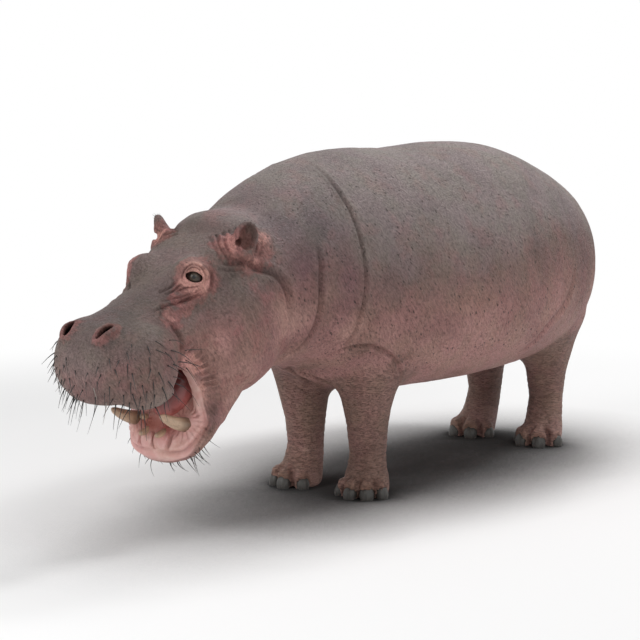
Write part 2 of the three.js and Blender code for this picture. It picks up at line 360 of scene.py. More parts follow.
def eye_place(side):
    """A place at the eye's middle, with axes along its width, up and out of the head."""
    centre = middle_of("eye_left" if side > 0 else "eye_right")
    out = unit((side * EYE_OUT[0], *EYE_OUT[1:]))
    rear = unit(np.cross((0, 0, 1), out)) * side
    return Place(centre, [rear, np.cross(out, rear) * side, out])


def lid_opening(side):
    eye = eye_place(side)

    def distance(u, v, w):
        k = np.sqrt((u / OPENING[0]) ** 2 + (v / OPENING[1]) ** 2)
        return np.maximum((k - 1) * OPENING[1], OPENING_START * EYE_RADIUS - w)

    return Shape(eye.origin, turned(eye.axes, OPENING_TILT, 2), 2 * EYE_RADIUS, distance)


def ball(centre, radius):
    def distance(u, v, w):
        return np.sqrt(u * u + v * v + w * w) - radius

    return Shape(centre, np.eye(3), radius, distance)


def ear_place(side):
    """A place at the ear's middle: side runs to its rear rim, ahead out of its cup, above up."""
    turn, lean = side * EAR_TURN, side * EAR_LEAN
    spin = [(math.cos(turn), math.sin(turn), 0), (math.sin(turn), -math.cos(turn), 0), (0, 0, 1)]
    tip = [(math.cos(lean), 0, -math.sin(lean)), (0, 1, 0), (math.sin(lean), 0, math.cos(lean))]
    axes = np.array(spin) @ tip
    axes[0] *= side
    return Place(HEAD.world(side * EAR_CENTRE[0], *EAR_CENTRE[1:]), axes)


def shape_ear(field, side):
    """Its root with a pad behind, then the cup, which is hollow and has a deeper pit."""
    ear = ear_place(side)
    root = [(-0.004, 0.000, -0.10), (0, 0, -0.055), (0.002, 0, -0.01)]
    field.join(tube(ear, root, (0.044, 0.044, 0.040)), 0.03)
    field.join(egg(ear, (-0.050, -0.030, -0.056), (0.048, 0.026, 0.050)), 0.03)
    field.join(egg(ear, (0.004, 0, 0), (0.051, 0.032, 0.068)), 0.016)
    field.carve(egg(ear, (0.010, 0.024, 0.008), (0.039, 0.042, 0.053)), 0.008)
    field.carve(egg(ear, (-0.024, 0.006, -0.020), (0.015, 0.034, 0.017)), 0.006)


def shape_eye(field, side):
    eye = eye_place(side)
    field.join(ball(eye.origin, EYE_RADIUS + LID), 0.024)
    brow = [eye.world(along, 0.024, -0.004) for along in (-0.034, 0.030)]
    field.join(tube(WORLD, brow, 0.030), 0.03)
    field.carve(lid_opening(side), 0.005)
    field.carve(ball(eye.origin, EYE_RADIUS + 0.0006), 0.0)


def shape_nostril(field, side):
    middle, ahead, above = side * NOSTRIL[0], NOSTRIL[1], NOSTRIL[2]
    turn = math.radians(NOSTRIL_TURN * side)
    rim = []
    for angle in np.linspace(0, 2 * math.pi, 17):
        along, across = NOSTRIL_RIM[0] * math.cos(angle), NOSTRIL_RIM[1] * math.sin(angle)
        rim.append((
            middle - along * math.sin(turn) + across * math.cos(turn),
            ahead + along * math.cos(turn) + across * math.sin(turn),
            above + 0.009 - 5.0 * along * along - 0.10 * along,
        ))
    field.join(tube(HEAD, rim, 0.010), 0.016)
    hole = (middle, ahead, above - 0.022)
    field.carve(egg(HEAD, hole, (0.0205, 0.046, 0.075), NOSTRIL_TURN * side), 0.005)


def shape_mouth(field, side):
    """The cheek that stretches between the jaws, ending in the soft edge at the mouth's side."""
    web = [(0.17, 0.370), (0.222, 0.332), (0.244, 0.262), (0.262, 0.215), (0.294, 0.162),
           (0.335, 0.128), (0.40, 0.055), (0.34, -0.03), (0.12, -0.06), (0.0, 0.10), (0.04, 0.32)]
    field.join(slab(JAW, web, side * 0.172, 0.030, 0.022), 0.035)


# between the jaws, in front of the cheek: ahead and above in the jaw's side plane
GAP = [(0.245, 0.400), (0.232, 0.345), (0.252, 0.262), (0.272, 0.212), (0.305, 0.165),
       (0.370, 0.200), (0.350, 0.400)]
CHEEK = ((0.170, 0.140, -0.318), (0.120, 0.246, 0.228), 0, 0.04)
HEAD_EGGS = (
    # centre on the left side, halves, turn in degrees and blend
    ((0.136, 0.696, -0.178), (0.099, 0.162, 0.144), 17, 0.03),  # the muzzle's side
    ((0.140, 0.678, -0.257), (0.097, 0.139, 0.090), 0, 0.03),  # upper lip
    ((0.084, 0.750, -0.034), (0.046, 0.074, 0.040), -12, 0.02),  # round the nostril
    ((0.118, 0.110, -0.058), (0.082, 0.125, 0.080), 0, 0.03),  # between eye and ear
)
JAW_EGGS = (
    ((0.038, 0.478, 0.094), (0.031, 0.050, 0.030), 0, 0.008),  # gum in front of the incisors
    ((0.126, 0.410, 0.080), (0.046, 0.050, 0.034), 0, 0.02),  # the tusk's socket
    ((0.080, 0.405, 0.078), (0.024, 0.030, 0.026), 0, 0.010),  # the side incisor's socket
)


def join_eggs(field, place, side, eggs):
    for (x, y, z), halves, turn, blend in eggs:
        field.join(egg(place, (side * x, y, z), halves, side * turn), blend)


def shape_head(field):
    for _, side in SIDES:
        join_eggs(field, HEAD, side, [CHEEK])
        field.carve(slab(JAW, GAP, side * 0.180, 0.080, 0.010), 0.012)
        join_eggs(field, HEAD, side, HEAD_EGGS)
        shape_mouth(field, side)
    muzzle_front = egg(HEAD, (0, 0.770, -0.232), (0.140, 0.080, 0.088))
    palate = egg(HEAD, (0, 0.560, -0.305), (0.150, 0.230, 0.062))
    throat = egg(HEAD, (0, 0.365, -0.370), (0.128, 0.200, 0.150))
    field.join(muzzle_front, 0.03)
    field.carve(palate, 0.02)
    field.carve(throat, 0.03)
    for _, side in SIDES:
        shape_ear(field, side)
        shape_eye(field, side)
        shape_nostril(field, side)


def shape_jaw(field):
    field.carve(egg(JAW, (0, 0.250, 0.165), (0.108, 0.170, 0.085)), 0.02)
    for _, side in SIDES:
        join_eggs(field, JAW, side, JAW_EGGS)


# ---- Feet ----
NAIL_HALVES = (0.0365, 0.026, 0.043)  # half its width, depth and height, in metres
NAIL_LEAN = 15  # degrees that a nail leans back
NAIL_TOP = 0.0605  # how high a nail of size 1 reaches
NAIL_INSET, NAIL_RISE = 0.009, 0.026  # its middle: how far inside its reach, and how high
NAIL_POWER = 2.1  # 2 is an egg, and more is squarer


def sole_centre(leg):
    points, _ = node_arrays(leg)
    return np.append(points[points[:, 2] < 1e-3][:, :2].mean(0), 0.0)


def looking(origin, out):
    """A place whose ahead runs along a level direction."""
    return Place(origin, [(-out[1], out[0], 0), out, (0, 0, 1)])


def toes():
    """For each nail: its name, a place under the leg that looks out to it, its size and reach."""
    found = []
    for pair in ("fore", "hind"):
        for word, _ in SIDES:
            foot = sole_centre(f"{pair}leg_{word}")
            for number in range(1, 5):
                name = f"nail_{pair}_{word}_{number}"
                across, along, _ = middle_of(name) - foot
                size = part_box(name)[1][2] / NAIL_TOP
                place = looking(foot, unit((across, along, 0)))
                found.append((name, place, size, math.hypot(across, along)))
    return found


def clefts():
    """For each two neighbouring toes: a place that looks out between them, and their reach."""
    every = toes()
    for (_, first, _, reach), (_, second, _, _) in zip(every, every[1:]):
        if np.linalg.norm(first.origin - second.origin) < 0.01:
            yield looking(first.origin, unit(first.axes[1] + second.axes[1])), reach


def nail_centre(size, reach):
    return 0, reach - NAIL_INSET, NAIL_RISE * size


def nail_shape(place, size, reach, grow=0.0):
    halves = [half * size + grow for half in NAIL_HALVES]
    return egg(place, nail_centre(size, reach), halves, NAIL_LEAN, 0)


def shape_feet(field):
    """Clefts between the toes, then for each toe its bulb, its cuticle and the nail's bed."""
    for cleft, reach in clefts():
        line = [(0, reach - 0.004, 0), (0, reach - 0.012, 0.045), (0, reach - 0.026, 0.100)]
        field.carve(tube(cleft, line, (0.022, 0.020, 0.008)), 0.016)
    for _, place, size, reach in toes():
        bulb = (0.043 * size, 0.050, 0.053 * size)
        field.join(egg(place, (0, reach - 0.048, 0.052 * size), bulb), 0.012)
        cuticle = (0.044 * size, 0.038, 0.050 * size)
        centre = (0, reach - 0.028, 0.037 * size)
        field.join(egg(place, centre, cuticle, NAIL_LEAN, 0), 0.006)
        field.carve(nail_shape(place, size, reach, 0.0012), 0.003)


def skin_field():
    field = Field(skin_lines())
    field.join_nodes(("trunk", "neck"), 0.045, 0.0, 0.004)
    for word, _ in SIDES:
        for pair in ("fore", "hind"):
            field.join_nodes((f"{pair}leg_{word}",), 0.014, 0.07, 0.003)
    field.join_nodes(("head",), 0.022, 0.07, 0.004)
    field.join_nodes(("lower_jaw",), 0.018, 0.05, 0.003)
    field.join_nodes(("tail",), 0.006, 0.03, 0.001)
    shape_head(field)
    shape_jaw(field)
    shape_feet(field)
    field.cut_below(0.0)
    return field


# ---- The skin's mesh ----
class Mesh:
    """Points with faces of any number of corners, kept as flat arrays."""

    def __init__(self, points, quads):
        self.points, self.quads, self.others = points, quads, []

    def faces(self):
        """Every face's corners in one row, and how many each has."""
        rest = [corner for face in self.others for corner in face]
        corners = np.concatenate([self.quads.ravel(), np.array(rest, int)])
        counts = np.array([4] * len(self.quads) + [len(face) for face in self.others])
        return corners, counts

    def normals(self):
        a, b, c, d = (self.points[self.quads[:, i]] for i in range(4))
        facing = np.cross(c - a, d - b)
        total = np.zeros_like(self.points)
        for axis in range(3):
            for corner in range(4):
                total[:, axis] += np.bincount(
                    self.quads[:, corner], facing[:, axis], len(self.points)
                )
        for face in self.others:
            total[face] += np.cross(
                self.points[face[2]] - self.points[face[0]],
                self.points[face[-1]] - self.points[face[1]],
            )
        return unit_rows(total + 1e-12)

    def sides_of(self, quads):
        """A number for each side of each quad, the same from both of its faces."""
        ends = np.stack([quads, np.roll(quads, -1, 1)], 2)
        return ends.min(2) * len(self.points) + ends.max(2)

    def refine(self, wanted):
        """Splits the wanted quads in four. Their neighbours take the new points into their sides."""
        size = len(self.points)
        quads, kept = self.quads[wanted], self.quads[~wanted]
        sides, which = np.unique(self.sides_of(quads), return_inverse=True)
        middles = size + which.reshape(quads.shape)
        centres = size + len(sides) + np.arange(len(quads))
        fresh = [
            np.stack([quads[:, i], middles[:, i], centres, middles[:, i - 1]], 1) for i in range(4)
        ]
        kept_sides = self.sides_of(kept)
        found = np.searchsorted(sides, kept_sides).clip(0, len(sides) - 1)
        found = np.where(sides[found] == kept_sides, size + found, -1)
        touched = (found >= 0).any(1)
        others = []
        for face, middle in zip(kept[touched].tolist(), found[touched].tolist()):
            others.append([v for pair in zip(face, middle) for v in pair if v >= 0])
        number = dict(zip(sides.tolist(), range(size, size + len(sides)))) if self.others else {}
        for face in self.others:
            result = []
            for a, b in zip(face, face[1:] + face[:1]):
                middle = number.get(min(a, b) * size + max(a, b))
                result += [a] if middle is None else [a, middle]
            others.append(result)
        halfway = (self.points[sides // size] + self.points[sides % size]) / 2
        self.points = np.concatenate([self.points, halfway, self.points[quads].mean(1)])
        self.others = others
        self.quads = np.concatenate([kept[~touched], *fresh])

    def relax(self, moving, amount):
        """Eases the moving points towards their neighbours' middle."""
        total, count = np.zeros_like(self.points), np.zeros(len(self.points))
        for i in range(4):
            a, b = self.quads[:, i], self.quads[:, (i + 1) % 4]
            for to, source in ((a, b), (b, a)):
                count += np.bincount(to, minlength=len(self.points))
                for axis in range(3):
                    total[:, axis] += np.bincount(to, self.points[source, axis], len(self.points))
        moving = moving & (count > 5)  # each neighbour counts twice where quads meet all round
        middle = total[moving] / count[moving, None]
        self.points[moving] += amount * (middle - self.points[moving])


def unit_rows(vectors):
    return vectors / np.linalg.norm(vectors, axis=1, keepdims=True)


def link(name, data):
    thing = bpy.data.objects.new(name, data)
    bpy.context.scene.collection.objects.link(thing)
    return thing


def mesh_object(name, points, corners, counts):
    mesh = bpy.data.meshes.new(name)
    mesh.vertices.add(len(points))
    mesh.vertices.foreach_set("co", np.asarray(points, np.float32).ravel())
    mesh.loops.add(len(corners))
    mesh.loops.foreach_set("vertex_index", np.asarray(corners, np.int32).ravel())
    mesh.polygons.add(len(counts))
    starts = np.cumsum(counts) - counts
    mesh.polygons.foreach_set("loop_start", np.asarray(starts, np.int32))
    mesh.update(calc_edges=True)
    mesh.shade_smooth()
    return link(name, mesh)


def give(thing, name, values):
    """Stores a number for each point, which a material reads by its name."""
    attribute = thing.data.attributes.new(name, "FLOAT", "POINT")
    attribute.data.foreach_set("value", np.asarray(values, np.float32))


def points_of(thing):
    points = np.empty(len(thing.data.vertices) * 3, np.float32)
    thing.data.vertices.foreach_get("co", points)
    return points.reshape(-1, 3)


def soft_step(values, low, high):
    t = np.clip((values - low) / (high - low), 0, 1)
    return t * t * (3 - 2 * t)


LATTICE = 24  # points of noise each way, before it repeats


def ripples(points, spacing, seed):
    """Smooth noise from -1 to 1, the same on every run."""
    lattice = np.random.default_rng(seed).uniform(-1, 1, [LATTICE] * 3).astype(np.float32)
    cell = points / spacing + 100
    low = np.floor(cell).astype(int)
    part = cell - low
    part = part * part * (3 - 2 * part)
    total = 0
    for corner in np.ndindex(2, 2, 2):
        weight = np.prod([p if c else 1 - p for c, p in zip(corner, part.T)], 0)
        i, j, k = ((low[:, axis] + corner[axis]) % LATTICE for axis in range(3))
        total = total + weight * lattice[i, j, k]
    return total


CURVE_STEPS = 6  # points of a smooth curve for each one that is given


def curve_through(points):
    """A smooth curve through points."""
    points = np.asarray(points, float)
    padded = np.concatenate([[2 * points[0] - points[1]], points, [2 * points[-1] - points[-2]]])
    t = np.linspace(0, 1, CURVE_STEPS, endpoint=False)[:, None]
    parts = []
    for a, b, c, d in zip(padded, padded[1:], padded[2:], padded[3:]):
        parts.append(0.5 * (2 * b + (c - a) * t + (2 * a - 5 * b + 4 * c - d) * t * t
                            + (3 * b - a - 3 * c + d) * t ** 3))
    return np.concatenate(parts + [points[-1:]])


def path_distance(points, path):
    """How far points are from a path, and how far along it, from 0 to 1, the nearest place is."""
    lengths = np.linalg.norm(np.diff(path, axis=0), axis=1)
    before = np.concatenate([[0], np.cumsum(lengths)])
    nearest, along = np.full(len(points), np.inf), np.zeros(len(points))
    for start, step, length, passed in zip(path, np.diff(path, axis=0), lengths, before):
        rel = points - start
        t = np.clip(rel @ step / (length * length), 0, 1)
        square = ((rel - t[:, None] * step) ** 2).sum(1)
        closer = square < nearest
        nearest[closer] = square[closer]
        along[closer] = ((passed + t * length) / before[-1])[closer]
    return np.sqrt(nearest), along


class Plane:
    """A plane to draw folds in: an origin, two axes in it and one out of it, and how far off
    the origin and how far behind the plane its folds still reach."""

    def __init__(self, origin, axes, reach, behind=0.03):
        self.origin, self.axes, self.reach, self.behind = origin, axes, reach, behind


TINT_FADE = 1.2  # how fast a tint falls off


class Relief:
    """The skin's points with the folds, pads and colours that are added to them."""

    def __init__(self, mesh):
        self.points, self.normals = mesh.points, mesh.normals()
        self.offset = np.zeros(len(self.points))
        self.masks = {}

    def mask(self, name):
        return self.masks.setdefault(name, np.zeros(len(self.points)))

    def tint(self, name, place, centre, halves, amount=1.0):
        """Raises a mask round a place, down to a third at the sides of an egg."""
        local = (place.local(self.points) - centre) / halves
        mask = self.mask(name)
        np.maximum(mask, amount * np.exp(-TINT_FADE * (local ** 2).sum(1)), out=mask)

    def near(self, low, high):
        return np.flatnonzero(((self.points > low) & (self.points < high)).all(1))

    def reached(self, path, margin, plane):
        """The points that a path may change, as indices, and where they are beside the path."""
        if plane is None:
            which = self.near(path.min(0) - margin, path.max(0) + margin)
            return which, self.points[which]
        which = self.near(plane.origin - plane.reach, plane.origin + plane.reach)
        local = (self.points[which] - plane.origin) @ plane.axes.T
        ahead = local[:, 2] > -plane.behind
        return which[ahead], local[ahead, :2]

    def fold(self, path, depth, width, roll=0.4, plane=None, shade=1.0):
        """A crease along a path, with a soft roll on each side of it. Where depth is below 0,
        it is a ridge instead. With a plane, the path is drawn in that."""
        path = curve_through(path)
        which, local = self.reached(path, 5 * width, plane)
        if not len(which):
            return
        gap, along = path_distance(local, path)
        taper = 1 - (2 * along - 1) ** 4
        groove = np.exp(-((gap / width) ** 2))
        rolls = np.exp(-(((gap - 2.2 * width) / (1.1 * width)) ** 2))
        self.offset[which] += depth * taper * (roll * rolls - groove)
        # the fold mask marks painted shade: in the groove, or in the hollows beside a ridge
        mask = self.mask("fold")
        where = groove if depth > 0 else rolls
        mask[which] = np.maximum(mask[which], shade * taper * where)


# ---- Folds ----
NECK_FOLD = [(0.060, -0.400, 1.467), (0.120, -0.415, 1.450), (0.235, -0.433, 1.370),
             (0.319, -0.429, 1.260), (0.370, -0.428, 1.118), (0.388, -0.428, 0.972),
             (0.374, -0.443, 0.850), (0.345, -0.445, 0.772), (0.306, -0.454, 0.716),
             (0.262, -0.466, 0.668)]
JOWL_FOLD = [(0.300, -0.673, 1.162), (0.319, -0.660, 1.118), (0.330, -0.661, 1.066),
             (0.334, -0.668, 1.009), (0.333, -0.668, 0.936), (0.322, -0.668, 0.868),
             (0.285, -0.677, 0.779), (0.231, -0.704, 0.712), (0.189, -0.740, 0.680)]
CHEEK_FOLD = [(0.150, 0.180, -0.030), (0.184, 0.149, -0.035), (0.230, 0.098, -0.058),
              (0.244, 0.036, -0.113), (0.271, -0.017, -0.162), (0.289, -0.046, -0.223),
              (0.296, -0.046, -0.291), (0.295, -0.028, -0.357)]
ELBOW_FOLD = [(0.222, -0.480, 0.659), (0.275, -0.455, 0.690), (0.311, -0.406, 0.702),
              (0.345, -0.324, 0.697), (0.357, -0.218, 0.652), (0.353, -0.136, 0.588),
              (0.327, -0.078, 0.525), (0.290, -0.060, 0.470)]
CHEST_FOLD = [(0.050, -0.500, 0.620), (-0.015, -0.418, 0.576), (-0.045, -0.315, 0.532),
              (-0.060, -0.200, 0.470)]
THIGH_FOLD = [(0.422, 0.732, 0.551), (0.446, 0.816, 0.583), (0.492, 0.871, 0.661),
              (0.503, 0.983, 0.728), (0.507, 1.052, 0.806), (0.501, 1.104, 0.905)]
FACE_FOLDS = (
    ([(0.164, 0.505, -0.105), (0.182, 0.500, -0.150), (0.202, 0.518, -0.188),
      (0.218, 0.545, -0.222)], 9, 8),
    ([(0.183, 0.283, -0.080), (0.165, 0.357, -0.077), (0.140, 0.439, -0.063)], 7, 11),
    ([(0.122, 0.456, -0.048), (0.150, 0.520, -0.060), (0.179, 0.569, -0.076)], 4, 9),
)
EYE_FOLDS = (
    # path in the eye's plane, depth and width, in mm
    ([(-174, -143), (-112, -114), (-30, -89), (45, -60)], 6.5, 5.0),
    ([(-141, -62), (-95, -41), (-66, -20)], 6.0, 5.0),
    ([(-112, -69), (-82, -55), (-46, -24)], 4.5, 3.6),
    ([(-46, -20), (-44, 8), (-30, 36), (-4, 50), (22, 42), (40, 20), (47, -5), (40, -34)], 3.2, 3.2),
    ([(-36, 4), (-22, 29), (0, 38), (20, 29), (33, 8)], 1.8, 2.4),
    ([(36, 53), (62, 25), (69, -14), (55, -60)], 4.5, 5.0),
    ([(-76, -84), (-17, -68), (35, -47)], 3.0, 3.2),
    ([(-69, -59), (-36, -43), (-4, -40), (29, -31)], 2.8, 2.8),
    ([(-130, -96), (-90, -86), (-40, -78)], 3.0, 3.6),
)
EAR_FOLDS = (
    ([(-40, 46), (-70, 34), (-87, 7), (-87, -27), (-70, -60), (-44, -77), (-14, -78)], -7.0, 6.0),
    ([(-54, 17), (-62, -13), (-54, -45), (-34, -62)], -5.0, 4.5),
    ([(-77, 46), (-108, 16), (-117, -13), (-107, -40), (-84, -74), (-60, -92)], -5.0, 6.5),
    ([(-90, -100), (-40, -104), (10, -98), (50, -80)], 4.0, 5.0),
    ([(-100, -122), (-40, -126), (30, -118)], 4.5, 6.0),
    ([(56, -20), (64, -50), (50, -84)], 4.0, 6.0),
    ([(80, -10), (86, -50), (70, -90)], 3.5, 7.0),
)
EAR_WARTS = ((-137, -54, 11), (-150, -40, 9), (-128, -38, 8), (-142, -68, 8))
MOUTH_MIDDLE = (0.2, 0.2, 0.2)  # the middle of the mouth's left side, in the jaw's place
MOUTH_FOLDS = (
    # path in the jaw's side plane, ahead and above from that middle, in mm
    [(5, 132), (-20, 122), (-50, 98)],
    [(8, 106), (-22, 90), (-54, 62)],
    [(16, 76), (-10, 46), (-48, 14)],
    [(26, 52), (0, 16), (-35, -20)],
    [(36, 30), (10, -8), (-28, -54)],
    [(50, 0), (25, -40), (-10, -90)],
    [(62, -20), (40, -60), (8, -112)],
    [(80, -34), (56, -82), (28, -134)],
)
LIP_CREASE = [(0.186, 0.320, 0.150), (0.193, 0.370, 0.095), (0.197, 0.401, 0.066),
              (0.184, 0.442, 0.065), (0.161, 0.488, 0.068), (0.126, 0.525, 0.071),
              (0.057, 0.541, 0.083), (0.000, 0.543, 0.084)]
GUM_CLEFTS = ([(0.000, 0.470, 0.112), (0.000, 0.495, 0.108), (0.000, 0.515, 0.099),
               (0.000, 0.535, 0.088)],
              [(0.080, 0.462, 0.107), (0.073, 0.506, 0.098), (0.062, 0.536, 0.085)])


SKIN_FOLDS = (
    # place, path on the left side, depth and width in mm, roll and shade
    (WORLD, NECK_FOLD, 9, 8, 0.6, 0.6),
    (WORLD, JOWL_FOLD, 10, 10, 0.7, 0.8),
    (WORLD, ELBOW_FOLD, 9, 9, 0.7, 0.7),
    (WORLD, CHEST_FOLD, 12, 15, 0.6, 0.9),
    (WORLD, THIGH_FOLD, 10, 22, 0.5, 0.5),
    (HEAD, CHEEK_FOLD, 12, 14, 0.6, 1.0),
    *((HEAD, path, depth, width, 0.6, 0.7) for path, depth, width in FACE_FOLDS),
    (JAW, LIP_CREASE, 10, 9, 0.6, 0.7),
    *((JAW, path, 10, 7, 0.7, 0.8) for path in GUM_CLEFTS),
)
EAR_WART_FOLDS = [([(x, y), (x + 1, y)], -0.55 * radius, radius / 1.5) for x, y, radius in EAR_WARTS]
LIP_WEB_FOLDS = [(path, -7.0, 6.2) for path in MOUTH_FOLDS]


def draw_folds(relief, plane, folds, roll, shade=1.0):
    """Folds drawn in a plane, each as a path, a depth and a width in mm."""
    for path, depth, width in folds:
        relief.fold(np.array(path) * MM, depth * MM, width * MM, roll, plane, shade)


def fold_side(relief, side):
    """The folds of one side, along its body and head and then round its eye, ear and mouth."""
    for place, path, depth, width, roll, shade in SKIN_FOLDS:
        relief.fold(place.path(path, side), depth * MM, width * MM, roll, shade=shade)
    eye, ear = eye_place(side), ear_place(side)
    draw_folds(relief, Plane(eye.origin, eye.axes, 0.24, 0.09), EYE_FOLDS, 0.5)
    ear_plane = Plane(ear.origin, ear.axes[[0, 2, 1]], 0.20, 0.075)
    draw_folds(relief, ear_plane, EAR_FOLDS, 0.4, 0.8)
    draw_folds(relief, ear_plane, EAR_WART_FOLDS, 0.3, 0.8)
    origin = JAW.world(side * MOUTH_MIDDLE[0], *MOUTH_MIDDLE[1:])
    side_plane = Plane(origin, JAW.axes[[1, 2, 0]] * [[1], [1], [side]], 0.25)
    draw_folds(relief, side_plane, LIP_WEB_FOLDS, 0.5, 0.3)


def fold_skin(relief):
    for _, side in SIDES:
        fold_side(relief, side)
        fan_out_gums(relief, side)
    ring_legs(relief)
    part_toes(relief)
    relief.offset += 0.0016 * ripples(relief.points, 0.075, SEED)
    relief.offset += 0.0007 * ripples(relief.points, 0.022, SEED + 1)


LEG_RINGS = ((0.330, 0.0018), (0.300, 0.0030), (0.268, 0.0018), (0.235, 0.0032), (0.212, 0.0015),
             (0.190, 0.0030), (0.160, 0.0016), (0.128, 0.0034), (0.112, 0.0018))


def ring_legs(relief):
    """Creases that run round the lower legs, as heights and depths."""
    which = np.flatnonzero(relief.points[:, 2] < 0.37)
    points = relief.points[which]
    wave = 0.016 * ripples(points * (1, 1, 0.2), 0.11, SEED + 6)
    for height, depth in LEG_RINGS:
        gap = np.abs(points[:, 2] + wave - height)
        groove = np.exp(-((gap / 0.006) ** 2)) * (0.6 + 0.4 * ripples(points, 0.07, SEED + 7))
        relief.offset[which] -= depth * groove
        # painted shade in the creases
        mask = relief.mask("fold")
        mask[which] = np.maximum(mask[which], 120 * depth * groove)


TOE_RIM = [(-43, 4), (-34, 36), (0, 53), (34, 36), (43, 4)]  # round a nail's top, in mm


def part_toes(relief):
    """Clefts between neighbouring toes, and a rim of skin round the top of each nail."""
    for cleft, reach in clefts():
        plane = Plane(cleft.world(0, reach - 0.010, 0.045), cleft.axes[[0, 2, 1]], 0.09, 0.05)
        draw_folds(relief, plane, [([(0, -60), (0, 0), (0, 55)], 14, 12)], 0.3, 0.5)
    for _, place, size, reach in toes():
        plane = Plane(place.world(0, reach - 0.004, 0.026), place.axes[[0, 2, 1]], 0.08, 0.05)
        draw_folds(relief, plane, [(np.array(TOE_RIM) * size, -4.5, 7)], 0.3, 0.2)


def fan_out_gums(relief, side):
    """Fine wrinkles that spread over the gum from a tusk."""
    plane = Plane(JAW.world(side * 0.126, 0.410, 0.085), JAW.axes, 0.12, 0.06)
    for turn in range(-150, 160, 22):
        way = np.array([math.cos(math.radians(turn)), math.sin(math.radians(turn))])
        draw_folds(relief, plane, [(np.outer((36, 55, 85), way), 3, 3.5)], 0.5, 0.35)


# ---- Colours ----
TINTS = {
    # for each mask: place, centre on the left side, halves in metres, and amount
    "low": (
        (WORLD, (0.30, -0.80, 0.84), (0.22, 0.28, 0.20), 0.90),  # jowl
        (WORLD, (0.34, -0.50, 0.78), (0.14, 0.22, 0.14), 0.90),  # behind it
        (HEAD, (0.22, 0.12, -0.34), (0.16, 0.22, 0.16), 0.85),  # cheek
        (HEAD, (0.24, 0.35, -0.29), (0.08, 0.15, 0.11), 0.90),  # in front of it
    ),
    "flush": (
        (HEAD, (0.158, 0.480, -0.098), (0.050, 0.060, 0.060), 0.55),  # in front of the eye
        (HEAD, (0.168, 0.406, -0.101), (0.030, 0.050, 0.030), 0.5),
        (HEAD, (0.141, 0.406, -0.070), (0.030, 0.045, 0.035), 0.6),
        (HEAD, NOSTRIL, (0.041, 0.068, 0.031), 0.8),
        (JAW, (0.195, 0.300, 0.170), (0.040, 0.070, 0.090), 0.8),  # the mouth's side
        (JAW, (0.205, 0.215, 0.260), (0.060, 0.060, 0.120), 0.95),
    ),
    # paler skin on the upper lip and the muzzle's front; on the forehead and nape, painted sheen
    "pale": (
        (HEAD, (0.205, 0.710, -0.330), (0.08, 0.13, 0.060), 1.0),  # upper lip
        (HEAD, (0.06, 0.885, -0.110), (0.14, 0.09, 0.09), 0.35),  # the muzzle's front
        (HEAD, (0.05, 0.25, 0.02), (0.10, 0.12, 0.06), 0.32),  # forehead: painted sheen
        (HEAD, (0.09, -0.26, 0.03), (0.10, 0.14, 0.08), 0.28),  # nape: painted sheen
    ),
    # painted shade in creases and under the lower lip, slightly olive
    "soot": (
        (JAW, (0.204, 0.410, 0.032), (0.040, 0.070, 0.030), 0.9),  # lower lip
        (JAW, (0.160, 0.510, 0.026), (0.060, 0.050, 0.026), 0.8),
        (JAW, (0.205, 0.320, 0.070), (0.050, 0.085, 0.050), 1.0),
        (WORLD, (0.36, -0.12, 0.60), (0.060, 0.09, 0.12), 0.9),  # behind the elbow
        (WORLD, (0.33, -0.33, 0.68), (0.07, 0.16, 0.06), 0.6),  # above the foreleg
        (WORLD, (0.08, -0.50, 0.60), (0.14, 0.14, 0.07), 0.8),  # chest
    ),
    # painted shade, darker where less light falls: lower lip, the muzzle's bridge, neck, shoulder,
    # haunch and hind legs
    "dusk": (
        (JAW, (0.208, 0.345, 0.050), (0.040, 0.065, 0.050), 1.2),  # lower lip
        (HEAD, (0, 0.62, 0.00), (0.15, 0.22, 0.08), 1.0),  # the muzzle's bridge
        (WORLD, (0, -0.74, 1.36), (0.34, 0.14, 0.14), 0.8),  # neck
        (WORLD, (0.22, -0.77, 1.26), (0.12, 0.14, 0.12), 1.0),
        (WORLD, (0.30, -0.62, 1.20), (0.22, 0.17, 0.20), 1.0),
        (WORLD, (0.42, -0.24, 1.02), (0.12, 0.17, 0.22), 0.5),  # shoulder
        (WORLD, (0.46, 1.20, 0.95), (0.16, 0.28, 0.32), 0.75),  # haunch
        (WORLD, (0.34, 1.10, 0.48), (0.14, 0.22, 0.12), 0.45),  # hind leg
        (WORLD, (0.10, 1.30, 0.20), (0.09, 0.24, 0.30), 0.8),
    ),
    "purple": (
        (WORLD, (0.38, -0.52, 1.03), (0.14, 0.07, 0.18), 1.0),  # between the neck's folds
        (WORLD, (0.32, -0.74, 1.03), (0.12, 0.09, 0.18), 0.9),
        (HEAD, (0.28, 0.20, -0.30), (0.12, 0.16, 0.14), 0.12),  # cheek
    ),
    "raw": ((JAW, (0.04, 0.435, 0.110), (0.09, 0.050, 0.04), 1.2),),  # round the incisors
    # painted shade deep in the throat
    "deep": ((JAW, (0, 0.16, 0.26), (0.19, 0.19, 0.15), 1.3),),  # throat
    # painted shade, near black, inside the nostril
    "hollow": ((HEAD, (0.092, 0.758, -0.052), (0.028, 0.044, 0.050), 4.5),),  # nostril
}
EAR_TINTS = (
    # mask, then centre, halves and amount in the ear's own place
    ("flush", (-0.050, 0, -0.040), (0.080, 0.060, 0.080), 0.8),
    ("flush", (0.020, 0, -0.095), (0.110, 0.080, 0.050), 0.6),
    ("flush", (0.100, -0.050, -0.010), (0.060, 0.080, 0.070), 0.75),
    ("flush", (0.075, -0.020, 0.058), (0.045, 0.060, 0.040), 0.9),
    ("inner_ear", (0.008, 0.000, 0.006), (0.034, 0.022, 0.046), 1.3),
    # painted shade in the ear's pit
    ("hollow", (-0.026, 0.004, -0.022), (0.013, 0.026, 0.015), 1.2),
)
# how far the lower lip's rim is from the middle, at places ahead along the jaw
LIP_RIM = ((0.22, 0.40, 0.467, 0.514, 0.574, 0.60), (0.195, 0.205, 0.198, 0.170, 0.115, 0.05))


